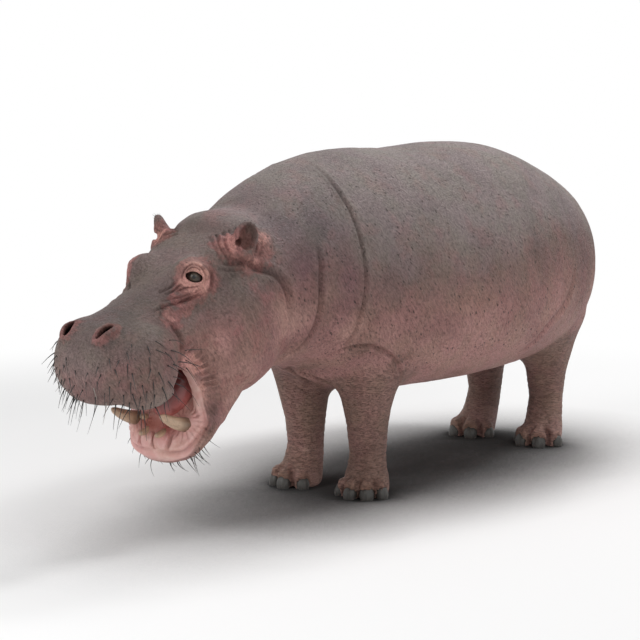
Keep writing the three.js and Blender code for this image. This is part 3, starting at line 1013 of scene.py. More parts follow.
def mask_legs(relief):
    """1 in each leg's box up to 0.48 high, fading out above and beside it."""
    points, leg = relief.points, relief.mask("leg")
    for pair in ("fore", "hind"):
        for word, _ in SIDES:
            low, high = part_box(f"{pair}leg_{word}")
            out = np.maximum(np.subtract(low, points), np.subtract(points, high))[:, :2].max(1)
            near = soft_step(-out, -0.06, 0.0) * soft_step(-points[:, 2], -0.66, -0.48)
            np.maximum(leg, near, out=leg)


def mask_head(relief, noise):
    """The head's dark upper side and muzzle, and the flush round its eyes."""
    head = HEAD.local(relief.points)
    face = soft_step(head[:, 1], -0.14, 0.04)
    height = soft_step(head[:, 2] + 0.06 * noise, -0.25, -0.07)
    muzzle = soft_step(head[:, 1], 0.46, 0.64) * soft_step(head[:, 2], -0.42, -0.36)
    relief.mask("face")[:] = face
    relief.mask("dark")[:] = face * np.maximum(height, 0.70 * muzzle)
    for _, side in SIDES:
        eye = eye_place(side)
        relief.tint("flush", eye, (-0.004, -0.006, 0), (0.086, 0.084, 0.085), 1.2)
        relief.tint("flush", eye, (-0.085, -0.085, 0), (0.060, 0.040, 0.080), 0.5)
    relief.mask("flush")[:] *= soft_step(np.abs(head[:, 0]), 0.100, 0.128)


def mask_mouth(relief):
    """The wet lining: all that the lower lip's rim encloses, and the palate."""
    head, jaw = HEAD.local(relief.points), JAW.local(relief.points)
    facing = relief.normals @ JAW.axes.T
    rim = np.interp(jaw[:, 1], *LIP_RIM)
    lower = soft_step(rim - np.abs(jaw[:, 0]), -0.004, 0.008) * soft_step(jaw[:, 2], 0.034, 0.054)
    lower *= soft_step(facing[:, 2] - 0.8 * facing[:, 0] * np.sign(jaw[:, 0]), -0.45, -0.1)
    lower *= (jaw[:, 2] < 0.30) & (jaw[:, 1] > 0.02)
    down = -(relief.normals @ HEAD.axes[2])
    palate = (np.abs(head[:, 0]) < 0.16) & (head[:, 1] > 0.12) & (head[:, 1] < 0.80)
    palate &= (head[:, 2] > -0.62) & (head[:, 2] < -0.20) & (jaw[:, 1] > 0) & (jaw[:, 2] > 0.03)
    palate &= down > soft_step(head[:, 1], 0.60, 0.78) - 0.2
    relief.mask("mouth")[:] = np.maximum(lower, palate)


def colour_masks(relief):
    """Where the skin is pink, flushed, dark or wet, and how low on the body."""
    points = relief.points
    noise = 0.6 * ripples(points, 0.25, SEED + 2) + 0.4 * ripples(points, 0.09, SEED + 3)
    relief.mask("low")[:] = soft_step(1.30 - points[:, 2] + 0.12 * noise, 0.0, 0.85)
    mask_legs(relief)
    mask_head(relief, noise)
    mask_mouth(relief)
    for _, side in SIDES:
        for name, tints in TINTS.items():
            for place, (x, y, z), halves, amount in tints:
                relief.tint(name, place, (side * x, y, z), halves, amount)
        for name, centre, halves, amount in EAR_TINTS:
            relief.tint(name, ear_place(side), centre, halves, amount)
    for _, place, size, reach in toes():
        relief.tint("cuticle", place, (0, reach - 0.004, 0.040 * size), (0.036, 0.024, 0.040), 1.0)
    relief.mask("deep")[:] *= relief.mask("mouth")


SLANT = 0.6  # radians that the hide's creases lean forward


class Look:
    """A node material, put together by calls that add a node and return its output."""

    def __init__(self, name):
        self.material = bpy.data.materials.new(name)
        self.material.use_nodes = True
        self.tree = self.material.node_tree
        self.shader = self.tree.nodes["Principled BSDF"]

    def put(self, socket, value):
        if isinstance(value, bpy.types.NodeSocket):
            self.tree.links.new(value, socket)
        elif hasattr(socket.default_value, "__len__") and len(socket.default_value) == 4:
            socket.default_value = (*value, 1)
        else:
            socket.default_value = value

    def node(self, kind, inputs, output=0, **settings):
        node = self.tree.nodes.new("ShaderNode" + kind)
        for name, value in settings.items():
            setattr(node, name, value)
        for key, value in inputs.items():
            self.put(node.inputs[key], value)
        return node.outputs[output]

    def set(self, **values):
        for name, value in values.items():
            self.put(self.shader.inputs[name.replace("_", " ")], value)

    def mask(self, name):
        return self.node("Attribute", {}, 2, attribute_name=name)

    def place(self, scale=(1, 1, 1)):
        return self.node("Mapping", {"Vector": self.node("TexCoord", {}, 3), "Scale": scale})

    def slanted(self, stretch):
        """Places stretched along a line that leans forward from upright."""
        inputs = {"Vector": self.node("TexCoord", {}, 3), "Scale": (1, 1, stretch),
                  "Rotation": (SLANT, 0, 0)}
        return self.node("Mapping", inputs, vector_type="TEXTURE")

    def noise(self, scale, detail=3.0, vector=None, rough=0.55):
        vector = vector or self.place()
        return self.node(
            "TexNoise", {"Vector": vector, "Scale": scale, "Detail": detail, "Roughness": rough}
        )

    def cells(self, scale, vector=None):
        """The distance to the nearest of many scattered points."""
        return self.node("TexVoronoi", {"Vector": vector or self.place(), "Scale": scale})

    def calc(self, operation, a, b=0.0):
        return self.node("Math", {0: a, 1: b}, operation=operation)

    def times(self, a, b):
        return self.calc("MULTIPLY", a, b)

    def span(self, value, low, high, to_low=0.0, to_high=1.0):
        inputs = {"Value": value, 1: low, 2: high, 3: to_low, 4: to_high}
        return self.node("MapRange", inputs, interpolation_type="SMOOTHSTEP")

    def mix(self, factor, a, b, blend="MIX"):
        return self.node("Mix", {0: factor, 6: a, 7: b}, 2, data_type="RGBA", blend_type=blend)

    def shade(self, factor, colour, tone):
        """A colour multiplied by a tone, as far as a factor says."""
        return self.mix(factor, colour, tone, "MULTIPLY")

    def ramp(self, value, *stops):
        """A colour that runs through stops of (place, colour)."""
        colour = self.node("ValToRGB", {"Fac": value})
        elements = colour.node.color_ramp.elements
        while len(elements) < len(stops):
            elements.new(0.5)
        for element, (place, tone) in zip(elements, stops):
            element.position, element.color = place, (*tone, 1)
        return colour

    def bump(self, height, distance, strength=1.0, normal=None):
        inputs = {"Height": height, "Distance": distance, "Strength": strength}
        if normal:
            inputs["Normal"] = normal
        return self.node("Bump", inputs)


GREY = (0.222, 0.183, 0.174)
UMBER = (0.190, 0.124, 0.108)
ROSY = (0.285, 0.155, 0.135)
PINK = (0.420, 0.235, 0.208)
DARK = (0.148, 0.110, 0.098)  # the head's upper side
BLOTCH = (0.300, 0.130, 0.122)
FLUSH = (0.600, 0.310, 0.270)
RUST = (0.240, 0.112, 0.100)
PURPLE = (0.180, 0.088, 0.096)
LEG = (0.282, 0.170, 0.139)
FOOT = (0.360, 0.228, 0.192)
CUTICLE = (0.215, 0.115, 0.074)
INNER_EAR = (0.110, 0.054, 0.041)
# paler skin, and painted sheen on the forehead and nape
PALE_AND_SHEEN = (0.270, 0.200, 0.184)
# painted shade in the pores' pits
PIT_SHADE = (0.040, 0.028, 0.026)
# painted shade in the hollows
HOLLOW_SHADE = (0.010, 0.007, 0.007)
GUM, PALE_GUM = (0.680, 0.385, 0.350), (0.74, 0.48, 0.44)
RAW_GUM = (0.500, 0.190, 0.160)
# the lining's red, painted dark as shade deep in the throat
THROAT_SHADE = (0.110, 0.022, 0.022)
IVORY, IVORY_LINES = (0.54, 0.37, 0.25), (0.24, 0.16, 0.10)
IVORY_ROOT = (0.150, 0.086, 0.050)
IRIS, IRIS_LIGHT = (0.034, 0.026, 0.019), (0.078, 0.058, 0.042)
IRIS_RIM = (0.022, 0.018, 0.016)
EYE_WHITE, PUPIL = (0.036, 0.024, 0.020), (0.012, 0.012, 0.012)
HORN, HORN_LINES = (0.046, 0.043, 0.038), (0.026, 0.023, 0.020)
TONGUE, TONGUE_SPOTS = (0.66, 0.225, 0.205), (0.46, 0.125, 0.115)
# painted shade at the tongue's rear
TONGUE_REAR_SHADE = (0.100, 0.016, 0.016)
BRISTLE, BRISTLE_PALE = (0.012, 0.010, 0.010), (0.34, 0.30, 0.27)
BRISTLE_WORN = (0.05, 0.04, 0.035)


def hide_colour(look):
    """The hide from the grey back to the pink belly, with its legs, feet and blotches, and painted
    shade in creases and where less light falls.
    """
    colour = look.ramp(look.mask("low"), (0.02, GREY), (0.26, UMBER), (0.55, ROSY), (0.88, PINK))
    colour = look.mix(look.mask("leg"), colour, LEG)
    height = look.node("SeparateXYZ", {0: look.place()}, 2)
    worn = look.calc("ADD", height, look.span(look.noise(7, 4), 0.3, 0.7, -0.12, 0.12))
    colour = look.mix(look.span(worn, 0.20, 0.06, 0.0, 0.9), colour, FOOT)
    colour = look.mix(look.mask("dark"), colour, DARK)
    # painted shade in creases and under the lip, slightly olive
    crease_darkening = look.times(look.mask("soot"), look.span(look.noise(12, 4), 0.35, 0.6, 0.3, 1.0))
    colour = look.shade(crease_darkening, colour, (0.50, 0.50, 0.46))
    colour = look.mix(look.mask("cuticle"), colour, CUTICLE)
    colour = look.mix(look.times(look.mask("purple"), 0.8), colour, PURPLE)
    # painted shade where less light falls
    colour = look.shade(look.times(look.mask("dusk"), 0.8), colour, (0.58, 0.55, 0.58))
    blotches = look.span(look.noise(9, 5), 0.50, 0.64, 0.0, 0.6)
    blotches = look.times(blotches, look.span(look.mask("face"), 0.0, 1.0, 0.3, 1.0))
    blotches = look.times(blotches, look.span(look.mask("dark"), 0.3, 1.0, 1.0, 0.2))
    colour = look.mix(blotches, colour, BLOTCH)
    patches = look.span(look.noise(3.4, 5), 0.42, 0.68, 0.0, 0.5)
    return look.shade(patches, colour, (0.62, 0.58, 0.60))


def face_colour(look, colour):
    """The flush with its rusty edge, the cups of the ears, the paler lips, and painted sheen on the
    forehead and nape.
    """
    flush = look.calc("ADD", look.mask("flush"), look.span(look.noise(26, 4), 0.3, 0.7, -0.16, 0.16))
    rust = look.times(look.span(flush, 0.06, 0.36), look.span(look.mask("flush"), 0.0, 0.2))
    rust = look.times(rust, look.span(look.mask("dark"), 0.0, 0.4, 0.3, 1.0))
    colour = look.mix(rust, colour, RUST)
    colour = look.mix(look.span(flush, 0.42, 0.82), colour, FLUSH)
    colour = look.mix(look.mask("inner_ear"), colour, INNER_EAR)
    # paler lips, and painted sheen on the forehead and nape
    return look.mix(look.mask("pale"), colour, PALE_AND_SHEEN)


def inner_colour(look, colour):
    """The mouth's lining with painted shade deep in the throat, painted shade in folds and hollows, and
    a faint change of tinge.
    """
    gum = look.mix(look.span(look.noise(30, 4), 0.35, 0.7), GUM, PALE_GUM)
    gum = look.mix(look.mask("raw"), gum, RAW_GUM)
    # the lining, painted darker deep in the throat as shade
    colour = look.mix(look.mask("mouth"), colour, look.mix(look.mask("deep"), gum, THROAT_SHADE))
    # painted shade in folds and creases
    colour = look.shade(look.times(look.mask("fold"), 0.6), colour, (0.34, 0.26, 0.26))
    # painted shade, near black, in the nostrils and the ears' pits
    colour = look.mix(look.mask("hollow"), colour, HOLLOW_SHADE)
    tinge = look.mix(look.span(look.noise(6, 4), 0.38, 0.62), (1.04, 0.98, 1.01), (0.98, 1.00, 0.95))
    return look.shade(1.0, colour, tinge)


def fine_lines(look, leg):
    """Noise in lines that slant over the body and ring the legs."""
    slanting = look.noise(120, 3, look.slanted(2.6), 0.65)
    rings = look.noise(1.0, 4, look.place((42, 42, 210)), 0.65)
    return look.mix(leg, slanting, rings)


def cracks(look, leg):
    """Thin wandering lines, strongest on the legs."""
    slanting = look.noise(48, 4, look.slanted(3.0), 0.6)
    rings = look.noise(1.0, 4, look.place((26, 26, 120)), 0.6)
    off = look.calc("ABSOLUTE", look.calc("SUBTRACT", look.mix(leg, slanting, rings), 0.5))
    return look.times(look.span(off, 0.0, 0.035, 1.0, 0.0), look.span(leg, 0.0, 0.8, 0.35, 0.75))


def pores(look, leg):
    """Pits of two sizes in loose groups, weaker on the legs and the face."""
    large = look.span(look.cells(44, look.slanted(2.2)), 0.09, 0.21, 1.0, 0.0)
    small = look.span(look.cells(92, look.slanted(2.2)), 0.10, 0.28, 0.7, 0.0)
    pits = look.times(look.calc("MAXIMUM", large, small), look.span(look.noise(9, 3), 0.36, 0.52, 0.35))
    pits = look.times(pits, look.span(leg, 0, 1, 1, 0.3))
    return look.times(pits, look.span(look.mask("face"), 0, 1, 1, 0.45))


def skin_look():
    look = Look("hippo_skin")
    leg, wet = look.mask("leg"), look.mask("mouth")
    dry = look.span(wet, 0, 0.5, 1, 0)
    lines, crack, pits = fine_lines(look, leg), cracks(look, leg), pores(look, leg)
    crack, pits = look.times(crack, dry), look.times(pits, dry)
    # painted shade in the fine lines and cracks, and painted highlight on the ridges between them, kept
    # off the wet lining
    shade = look.times(look.span(lines, 0.34, 0.62, 0.78, 1.12), look.span(crack, 0, 1, 1, 0.62))
    shade = look.mix(dry, (1, 1, 1), look.node("CombineXYZ", {0: shade, 1: shade, 2: shade}))
    colour = inner_colour(look, face_colour(look, hide_colour(look)))
    colour = look.shade(1.0, colour, shade)
    # painted shade in the pits of the pores
    colour = look.mix(look.times(pits, 0.78), colour, PIT_SHADE)
    normal = look.bump(look.times(lines, dry), 0.009, 0.8)
    normal = look.bump(crack, -0.004, 0.8, normal)
    normal = look.bump(pits, -0.004, 0.7, normal)
    normal = look.bump(look.cells(150), 0.0025, 0.6, normal)
    rough = look.span(look.noise(70, 2), 0.3, 0.7, 0.52, 0.70)
    rough = look.calc("SUBTRACT", rough, look.times(wet, 0.24))
    # no specular where the hollows are painted dark, so that no reflection lightens the painted shade
    shine = look.span(look.mask("hollow"), 0, 0.8, 0.32, 0.0)
    look.set(Base_Color=colour, Normal=normal, Roughness=rough, Specular_IOR_Level=shine)
    return look.material


def dress(thing, material, slot, *nodes):
    thing.data.materials.append(material)
    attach(thing, "root")
    if nodes:
        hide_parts(*nodes)
    return thing


def ringed_object(name, rings):
    """A closed skin over an array of rings of points."""
    count, around = rings.shape[:2]
    points = [*rings.reshape(-1, 3), rings[0].mean(0), rings[-1].mean(0)]
    start = np.arange(count - 1)[:, None] * around
    here = np.arange(around)
    after = (here + 1) % around
    quads = np.stack([start + here, start + around + here, start + around + after, start + after], 2)
    first, last = np.full(around, count * around), np.full(around, count * around + 1)
    end = (count - 1) * around
    caps = np.concatenate([
        np.stack([here, after, first], 1), np.stack([end + after, end + here, last], 1)
    ])
    counts = [4] * ((count - 1) * around) + [3] * (2 * around)
    corners = np.concatenate([quads.ravel(), caps.ravel()])
    return mesh_object(name, np.array(points), corners, np.array(counts))


# ---- Teeth ----
TOOTH_AROUND = 32  # points round a tooth
TIP_START = 0.9  # where its tip starts to close, along its length
TEETH = (
    # name, place, base on the left side, lean in degrees, length, radius, curl, and the tip's share
    ("tusk", JAW, (0.128, 0.398, 0.052), -62, 0.205, 0.030, 0.062, 0.34),
    ("incisor_centre", JAW, (0.042, 0.424, 0.063), -48, 0.118, 0.0175, 0.006, 0.5),
    ("incisor_side", JAW, (0.080, 0.393, 0.044), -70, 0.100, 0.0175, 0.006, 0.5),
    ("upper_canine", HEAD, (0.130, 0.740, -0.205), 80, 0.110, 0.022, -0.020, 0.4),
    ("upper_incisor", HEAD, (0.045, 0.795, -0.210), 78, 0.085, 0.013, -0.010, 0.5),
)


def tooth(name, place, base, lean, length, radius, curl, tip):
    """A fluted tooth that grows from its base, leans by degrees and curls towards its tip."""
    root = Place(place.world(*base), turned(place.axes, -lean, 0))
    body = np.linspace(0, TIP_START, 24)
    end = TIP_START + (1 - TIP_START) * np.sin(np.linspace(0.1, math.pi / 2, 9))
    steps = np.concatenate([body, end])
    rings = []
    for t in steps:
        width = radius * (1 - (1 - tip) * t ** 2.4)
        if t > TIP_START:
            width *= math.sqrt(max(1e-4, 1 - ((t - TIP_START) / (1 - TIP_START)) ** 2))
        slope = math.atan2(2 * curl * t, length)
        for turn in np.linspace(0, 2 * math.pi, TOOTH_AROUND, endpoint=False):
            wide = width * (1 + 0.03 * math.cos(5 * turn) + 0.018 * math.cos(11 * turn + 5 * t))
            lift = wide * math.sin(turn)
            rings.append(root.world(
                wide * math.cos(turn),
                length * t - lift * math.sin(slope),
                curl * t * t + lift * math.cos(slope),
            ))
    thing = ringed_object(name, np.reshape(rings, (len(steps), TOOTH_AROUND, 3)))
    give(thing, "along", np.append(np.repeat(steps, TOOTH_AROUND), (0, 1)))
    return thing


def add_teeth():
    look = Look("ivory")
    root = look.span(look.mask("along"), 0.30, 0.62)
    grain = look.noise(1.0, 5, look.place((160, 40, 40)))
    colour = look.mix(root, IVORY_ROOT, IVORY)
    colour = look.mix(look.span(grain, 0.4, 0.7, 0, 0.5), colour, IVORY_LINES)
    look.set(Base_Color=colour, Roughness=0.36, Coat_Weight=0.25, Normal=look.bump(grain, 0.001, 0.7))
    for word, side in SIDES:
        for name, place, base, *sizes in TEETH:
            base = (side * base[0], *base[1:])
            thing = tooth(f"ivory_{name}_{word}", place, base, *sizes)
            dress(thing, look.material, "tooth", f"{name}_{word}")


# ---- Eyes, nails and tongue ----
def round_object(name, place, radial, rows=40, around=64):
    """A closed piece whose surface lies at radial(direction) from a place, in its own axes."""
    turn = np.linspace(0, 2 * math.pi, around, endpoint=False)
    rings = []
    for polar in np.linspace(0.02, math.pi - 0.02, rows):
        flat = np.stack([np.cos(turn), np.sin(turn)], 1) * math.sin(polar)
        direction = np.column_stack([flat, np.full(around, math.cos(polar))])
        rings.append(place.origin + radial(direction) @ place.axes)
    rings = np.array(rings)
    return ringed_object(name, rings if np.linalg.det(place.axes) > 0 else rings[:, ::-1])


def eye_surface(direction):
    """A ball with a slight bulge at its front, the cornea."""
    bulge = 0.0022 * np.exp(-(((1 - direction[:, 2]) / 0.10) ** 2))
    return direction * (EYE_RADIUS + bulge)[:, None]


def add_eyes():
    look = Look("eye")
    out = look.mask("out")
    iris = look.mix(look.span(look.noise(90, 4), 0.3, 0.7), IRIS, IRIS_LIGHT)
    iris = look.mix(look.span(out, 0.80, 0.88, 1.0, 0.0), iris, IRIS_RIM)
    colour = look.mix(look.span(out, 0.78, 0.82), EYE_WHITE, iris)
    colour = look.mix(look.span(out, 0.970, 0.985), colour, PUPIL)
    look.set(Base_Color=colour, Roughness=0.35, Coat_Weight=0.3, Coat_Roughness=0.04,
             Specular_IOR_Level=0.2)
    for word, side in SIDES:
        eye = eye_place(side)
        thing = round_object(f"eyeball_{word}", eye, eye_surface)
        give(thing, "out", unit_rows(points_of(thing) - eye.origin) @ eye.axes[2])
        dress(thing, look.material, "eye", f"eye_{word}")


def add_nails():
    look = Look("horn")
    grain = look.noise(1.0, 4, look.place((120, 120, 25)))
    look.set(Base_Color=look.mix(look.span(grain, 0.35, 0.65), HORN, HORN_LINES),
             Roughness=0.52, Normal=look.bump(grain, 0.0015, 0.6))
    for name, foot, size, reach in toes():
        place = Place(foot.world(*nail_centre(size, reach)), turned(foot.axes, NAIL_LEAN, 0))
        halves = np.array(NAIL_HALVES) * (size, 1, size)

        def radial(direction):
            length = (np.abs(direction) ** NAIL_POWER).sum(1) ** (1 / NAIL_POWER)
            return direction / length[:, None] * halves

        thing = round_object(name.replace("nail", "horn"), place, radial, 24, 36)
        points = points_of(thing)
        points[:, 2] = np.maximum(points[:, 2], 0.0004)
        thing.data.vertices.foreach_set("co", points.ravel())
        dress(thing, look.material, "nail", name)


def add_tongue():
    low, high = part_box("tongue")
    field = Field([grid_lines(a - 0.05, (b + 0.05, 0.004)) for a, b in zip(low, high)])
    field.join_nodes(("tongue",), 0.012, 0.0, 0.004)
    field.join(egg(JAW, (0.034, 0.256, 0.124), (0.086, 0.130, 0.064)), 0.03)
    mesh = Mesh(*field.surface())
    relief = Relief(mesh)
    plane = Plane(JAW.world(0, 0.25, 0.12), JAW.axes, 0.25, 0.05)
    draw_folds(relief, plane, [([(10, -150), (4, 0), (8, 130)], 6, 7)], 0.5)
    relief.offset += 0.0012 * ripples(relief.points, 0.02, SEED)
    mesh.points = relief.points + relief.offset[:, None] * relief.normals
    thing = mesh_object("tongue_flesh", mesh.points, *mesh.faces())
    local = JAW.local(mesh.points)
    # where the tongue is painted darker as shade: at its rear and its upper part
    rear = np.maximum(soft_step(-local[:, 1], -0.27, -0.13), soft_step(local[:, 2], 0.10, 0.18))
    give(thing, "rear", rear)
    look = Look("tongue")
    colour = look.mix(look.span(look.noise(22, 4), 0.35, 0.65), TONGUE, TONGUE_SPOTS)
    # painted shade at the tongue's rear
    colour = look.mix(look.mask("rear"), colour, TONGUE_REAR_SHADE)
    look.set(Base_Color=colour, Roughness=0.34, Coat_Weight=0.3, Coat_Roughness=0.2,
             Normal=look.bump(look.cells(260), 0.0015, 0.5))
    dress(thing, look.material, "tongue", "tongue")


# ---- Bristles ----
class Coat:
    """Bristles gathered for one piece: each has a root, a way out, a bend, a length and a radius."""

    def __init__(self, name, centre, axes):
        self.name, self.centre, self.axes, self.hairs = name, centre, axes, []

    def add(self, root, way, bend, length, radius, pale=0.0):
        self.hairs.append((*root, *way, *bend, length, radius, pale))

    def unwrapped(self, points):
        """Where points lie on the skin, unrolled round the middle of the part that it covers."""
        local = unit_rows((points - self.centre) @ self.axes.T)
        polar = np.arccos(np.clip(local[:, 2], -1, 1)) / math.pi
        turn = np.arctan2(local[:, 1], local[:, 0])
        return 0.5 + 0.48 * polar[:, None] * np.stack([np.cos(turn), np.sin(turn)], 1)

    def build(self, material, slot):
        data = np.array(self.hairs)
        root, way, bend = data[:, 0:3], unit_rows(data[:, 3:6]), data[:, 6:9]
        length, radius, pale = data[:, 9:10], data[:, 10:11], data[:, 11]
        sides, steps = 4, 7
        across = unit_rows(np.cross(way, way[:, [1, 2, 0]] + 0.3))
        rings, alongs = [], np.linspace(0, 1, steps)
        for t in alongs:
            middle = root + length * (t * way + t * t * bend)
            tangent = unit_rows(way + 2 * t * bend)
            first = unit_rows(across - (across * tangent).sum(1, keepdims=True) * tangent)
            second = np.cross(tangent, first)
            size = radius * (1 - 0.8 * t)
            for k in range(sides):
                turn = 2 * math.pi * k / sides
                rings.append(middle + size * (math.cos(turn) * first + math.sin(turn) * second))
        each = steps * sides
        points = np.stack(rings, 1).reshape(-1, 3)
        faces = []
        for i in range(steps - 1):
            for k in range(sides):
                a, b = i * sides + k, i * sides + (k + 1) % sides
                faces.append((a, b, b + sides, a + sides))
        faces.append(tuple(range(sides))[::-1])
        faces.append(tuple(range(each - sides, each)))
        start = np.arange(len(data))[:, None, None] * each
        corners = (start + np.array(faces)).ravel()
        thing = mesh_object(self.name, points, corners, np.full(len(corners) // 4, 4))
        spread = np.stack([np.tile(np.arange(sides) / sides, steps), np.repeat(alongs, sides)], 1)
        uv = self.unwrapped(root)[:, None, :] + 0.003 * (spread - 0.5)
        layer = thing.data.uv_layers.new(name="OFBake")
        layer.data.foreach_set("uv", uv.reshape(-1, 2)[corners].astype(np.float32).ravel())
        give(thing, "pale", np.repeat(pale, each))
        dress(thing, material, slot)


def scattered(relief, weight, count, spacing, rng):
    """Picks points of the skin at random by weight, no two closer than a spacing."""
    order = rng.choice(len(weight), min(40 * count, (weight > 0).sum()), False, weight / weight.sum())
    chosen = np.empty((0, 3))
    result = []
    for index in order:
        point = relief.points[index]
        if len(chosen) and ((chosen - point) ** 2).sum(1).min() < spacing ** 2:
            continue
        chosen = np.vstack([chosen, point])
        result.append(index)
        if len(result) == count:
            break
    return result


DOWN = np.array([0, 0, -1.0])


def add_lip_bristles(relief, material, rng):
    """Over the muzzle: longer and swept back towards its rear, a few very long or pale."""
    coat = Coat("bristles_lip", HEAD.world(0, 0.60, -0.18), HEAD.axes[[0, 2, 1]])
    head, facing = HEAD.local(relief.points), relief.normals @ HEAD.axes.T
    weight = soft_step(head[:, 1], 0.50, 0.60) * soft_step(-head[:, 2], 0.05, 0.10)
    weight *= soft_step(facing[:, 1] + np.abs(head[:, 0]) * 3, 0.2, 0.6)
    weight *= (facing[:, 2] > -0.75) & (head[:, 2] > -0.37) & (relief.mask("mouth") < 0.2)
    for index in scattered(relief, weight, 125, 0.032, rng):
        _, ahead, above = head[index]
        rear = soft_step(-ahead, -0.76, -0.60)
        low = soft_step(-above, 0.12, 0.32)
        length = (0.046 + 0.030 * low + 0.035 * rear) * rng.uniform(0.6, 1.3)
        if rear > 0.5 and rng.random() < 0.18:
            length = rng.uniform(0.13, 0.18)
        backward = -HEAD.axes[1] * (1.0 * rear - 0.10)
        way = relief.normals[index] * (0.38 + 0.2 * rear) + 0.75 * DOWN + backward
        way = unit(way + rng.normal(0, 0.26, 3))
        bend = (0.40 * DOWN + rng.normal(0, 0.18, 3)) * rng.uniform(0.4, 1.2)
        radius = rng.uniform(0.0021, 0.0030)
        coat.add(relief.points[index], way, bend, length, radius, float(rng.random() < 0.04))
    coat.build(material, "hide_back")


def add_chin_bristles(relief, material, rng):
    """In a band along the lower lip."""
    coat = Coat("bristles_chin", JAW.world(0, 0.40, 0), JAW.axes[[0, 2, 1]])
    jaw, facing = JAW.local(relief.points), relief.normals @ JAW.axes.T
    weight = soft_step(jaw[:, 1], 0.40, 0.50) * (np.abs(jaw[:, 2] + 0.005) < 0.045)
    weight *= (facing[:, 2] < 0.3) & (relief.mask("mouth") < 0.2)
    for index in scattered(relief, weight, 42, 0.024, rng):
        length = rng.uniform(0.035, 0.070)
        way = relief.normals[index] + 0.5 * DOWN + rng.normal(0, 0.25, 3)
        bend = 0.2 * DOWN - 0.35 * HEAD.axes[1] + rng.normal(0, 0.15, 3)
        coat.add(relief.points[index], way, bend, length, rng.uniform(0.0018, 0.0025))
    coat.build(material, "hide_back")


def add_ear_hairs(relief, material, rng, word, side):
    """Short hairs that stand out from an ear's rim."""
    ear = ear_place(side)
    local = ear.local(relief.points)
    coat = Coat(f"hairs_ear_{word}", ear.origin, ear.axes[[0, 2, 1]])
    rim = np.hypot(local[:, 0] / 0.046, local[:, 2] / 0.063)
    weight = np.exp(-(((rim - 1) / 0.12) ** 2))
    weight *= (np.abs(local[:, 1]) < 0.04) & (local[:, 2] > -0.045)
    for index in scattered(relief, weight, 70, 0.006, rng):
        out = unit(local[index] * (1, 0, 1)) @ ear.axes
        way = out + 0.5 * ear.axes[1] + rng.normal(0, 0.3, 3)
        coat.add(relief.points[index], way, 0.3 * DOWN, rng.uniform(0.008, 0.018), 0.0006)
    coat.build(material, "hide_pink")


def add_bristles(relief):
    look = Look("bristle")
    colour = look.mix(look.mask("pale"), BRISTLE, BRISTLE_PALE)
    colour = look.mix(look.span(look.noise(120, 2), 0.3, 0.7, 0, 0.25), colour, BRISTLE_WORN)
    look.set(Base_Color=colour, Roughness=0.45)
    rng = np.random.default_rng(SEED)
    add_lip_bristles(relief, look.material, rng)
    add_chin_bristles(relief, look.material, rng)
    for word, side in SIDES:
        add_ear_hairs(relief, look.material, rng, word, side)


# ---- The skin ----
def fine_zones():
    """Where the skin's mesh is split finer: middles and reaches, for each round of splitting."""
    first, second = [(JAW.world(0, 0.46, 0.07), 0.22)], []
    for _, side in SIDES:
        eye = eye_place(side).origin
        first += [
            (eye, 0.13),
            (ear_place(side).origin, 0.17),
            (JAW.world(side * 0.19, 0.25, 0.2), 0.17),
            (HEAD.world(side * NOSTRIL[0], *NOSTRIL[1:]), 0.09),
        ]
        second.append((eye, 0.085))
    return first, second


def within(points, zones, less=0.0):
    """Which points lie in any of the zones."""
    inside = np.zeros(len(points), bool)
    for middle, reach in zones:
        inside |= ((points - middle) ** 2).sum(1) < (reach - less) ** 2
    return inside


def add_skin():
    mesh = Mesh(*skin_field().surface())
    for zones in fine_zones():
        mesh.refine(within(mesh.points, zones)[mesh.quads].all(1))
        mesh.relax(within(mesh.points, zones, 0.01), 0.5)
    relief = Relief(mesh)
    fold_skin(relief)
    colour_masks(relief)
    relief.points = mesh.points + relief.offset[:, None] * relief.normals
    relief.points[:, 2] = np.maximum(relief.points[:, 2], 0)
    mesh.points = relief.points
    relief.normals = mesh.normals()
    thing = mesh_object("skin", mesh.points, *mesh.faces())
    for name, values in relief.masks.items():
        give(thing, name, values)
    flesh = ["head", "lower_jaw", "neck", "trunk", "tail", "ear_left", "ear_right",
             *(f"{pair}leg_{word}" for pair in ("fore", "hind") for word, _ in SIDES)]
    dress(thing, skin_look(), "hide_back", *flesh)
    return relief


# ---- The studio ----
CAMERA_TARGET = (0, -0.230, 0.770)
CAMERA_DISTANCE = 9.0
CAMERA_TURN, CAMERA_RISE = 37.1, 7.9  # degrees round to the left and up
CAMERA_LENS = 115.9  # mm
AMBIENT = 0.42  # how strongly the white surroundings light the model
LAMP_TARGET = (0, 0, 0.6)
LAMPS = (
    # name, turn and rise in degrees, distance and size in metres, power in watts
    ("side", 62, 26, 7, 4.0, 80),
    ("front", -16, 30, 7, 3.0, 180),
    ("rear", 196, 56, 7, 1.5, 105),
    ("back", 150, 52, 7, 1.4, 165),
)
FLOOR_HALF = 40  # half the floor's width


def direction(turn, rise):
    """The way to something that stands round to the left by a turn and up by a rise."""
    turn, rise = math.radians(turn), math.radians(rise)
    level = math.cos(rise)
    return np.array([math.sin(turn) * level, -math.cos(turn) * level, math.sin(rise)])


def aim(thing, target, way, distance):
    thing.location = np.array(target) + distance * way
    thing.rotation_euler = Vector(way).to_track_quat("Z", "Y").to_euler()


def add_camera():
    data = bpy.data.cameras.new("camera")
    data.lens, data.clip_end = CAMERA_LENS, 200
    camera = link("camera", data)
    aim(camera, CAMERA_TARGET, direction(CAMERA_TURN, CAMERA_RISE), CAMERA_DISTANCE)
    bpy.context.scene.camera = camera


def add_lamps():
    for name, turn, rise, distance, size, power in LAMPS:
        data = bpy.data.lights.new(name, "AREA")
        data.size, data.energy = size, power
        aim(link(name, data), LAMP_TARGET, direction(turn, rise), distance)


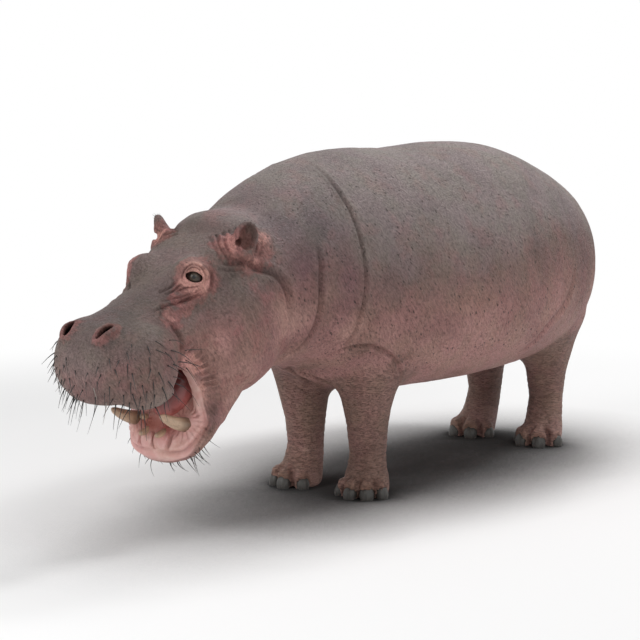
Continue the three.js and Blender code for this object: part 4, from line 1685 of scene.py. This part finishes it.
def add_world():
    """White surroundings, seen at full strength by the camera and in mirrors and dimmer in light."""
    world = bpy.data.worlds.new("studio")
    world.use_nodes = True
    bpy.context.scene.world = world
    tree = world.node_tree
    path = tree.nodes.new("ShaderNodeLightPath")
    seen = path.outputs["Is Camera Ray"]
    for other in ("Is Glossy Ray", "Is Transmission Ray"):
        most = tree.nodes.new("ShaderNodeMath")
        most.operation = "MAXIMUM"
        tree.links.new(seen, most.inputs[0])
        tree.links.new(path.outputs[other], most.inputs[1])
        seen = most.outputs[0]
    strength = tree.nodes.new("ShaderNodeMapRange")
    strength.inputs["To Min"].default_value = AMBIENT
    tree.links.new(seen, strength.inputs["Value"])
    background = tree.nodes["Background"]
    background.inputs["Color"].default_value = (1, 1, 1, 1)
    tree.links.new(strength.outputs[0], background.inputs["Strength"])


def grey(value):
    return value, value, value


def add_floor():
    """A pale floor whose colour, as the camera sees it, is painted darker where the sky is hidden from
    it, a painted shadow, and fades to white far off.
    """
    look = Look("floor")
    where = look.node("VectorMath", {0: look.place((1, 1, 0))}, 1, operation="LENGTH")
    far = look.span(where, 2.4, 4.6)
    faint = look.span(look.noise(3, 3), 0.3, 0.7, 0.0, 0.5)
    open_sky = look.node("AmbientOcclusion", {"Distance": 0.9}, "AO")
    seen = look.node("LightPath", {}, "Is Camera Ray")
    pale = look.mix(seen, look.mix(faint, grey(0.86), grey(0.84)), grey(0.92))
    # painted shadow: the floor's colour, for the camera only, darkens where the sky is hidden
    painted_shadow = look.times(look.span(open_sky, 0.42, 1.0, 1.0, 0.0), seen)
    pale = look.mix(painted_shadow, pale, grey(0.06))
    look.set(Base_Color=pale, Roughness=0.9, Specular_IOR_Level=0.0)
    white = look.node("Emission", {"Color": (1, 1, 1), "Strength": 1.0})
    blend = look.node("MixShader", {0: look.times(far, seen), 1: look.shader.outputs[0], 2: white})
    look.tree.links.new(blend, look.tree.nodes["Material Output"].inputs["Surface"])
    corners = np.array([(-1, -1, 0), (1, -1, 0), (1, 1, 0), (-1, 1, 0)]) * FLOOR_HALF
    floor = mesh_object("floor", corners, np.arange(4), np.array([4]))
    floor.data.materials.append(look.material)


relief = add_skin()
add_bristles(relief)
add_eyes()
add_teeth()
add_tongue()
add_nails()
add_floor()
add_world()
add_lamps()
add_camera()
bpy.context.scene.view_settings.view_transform = "Standard"
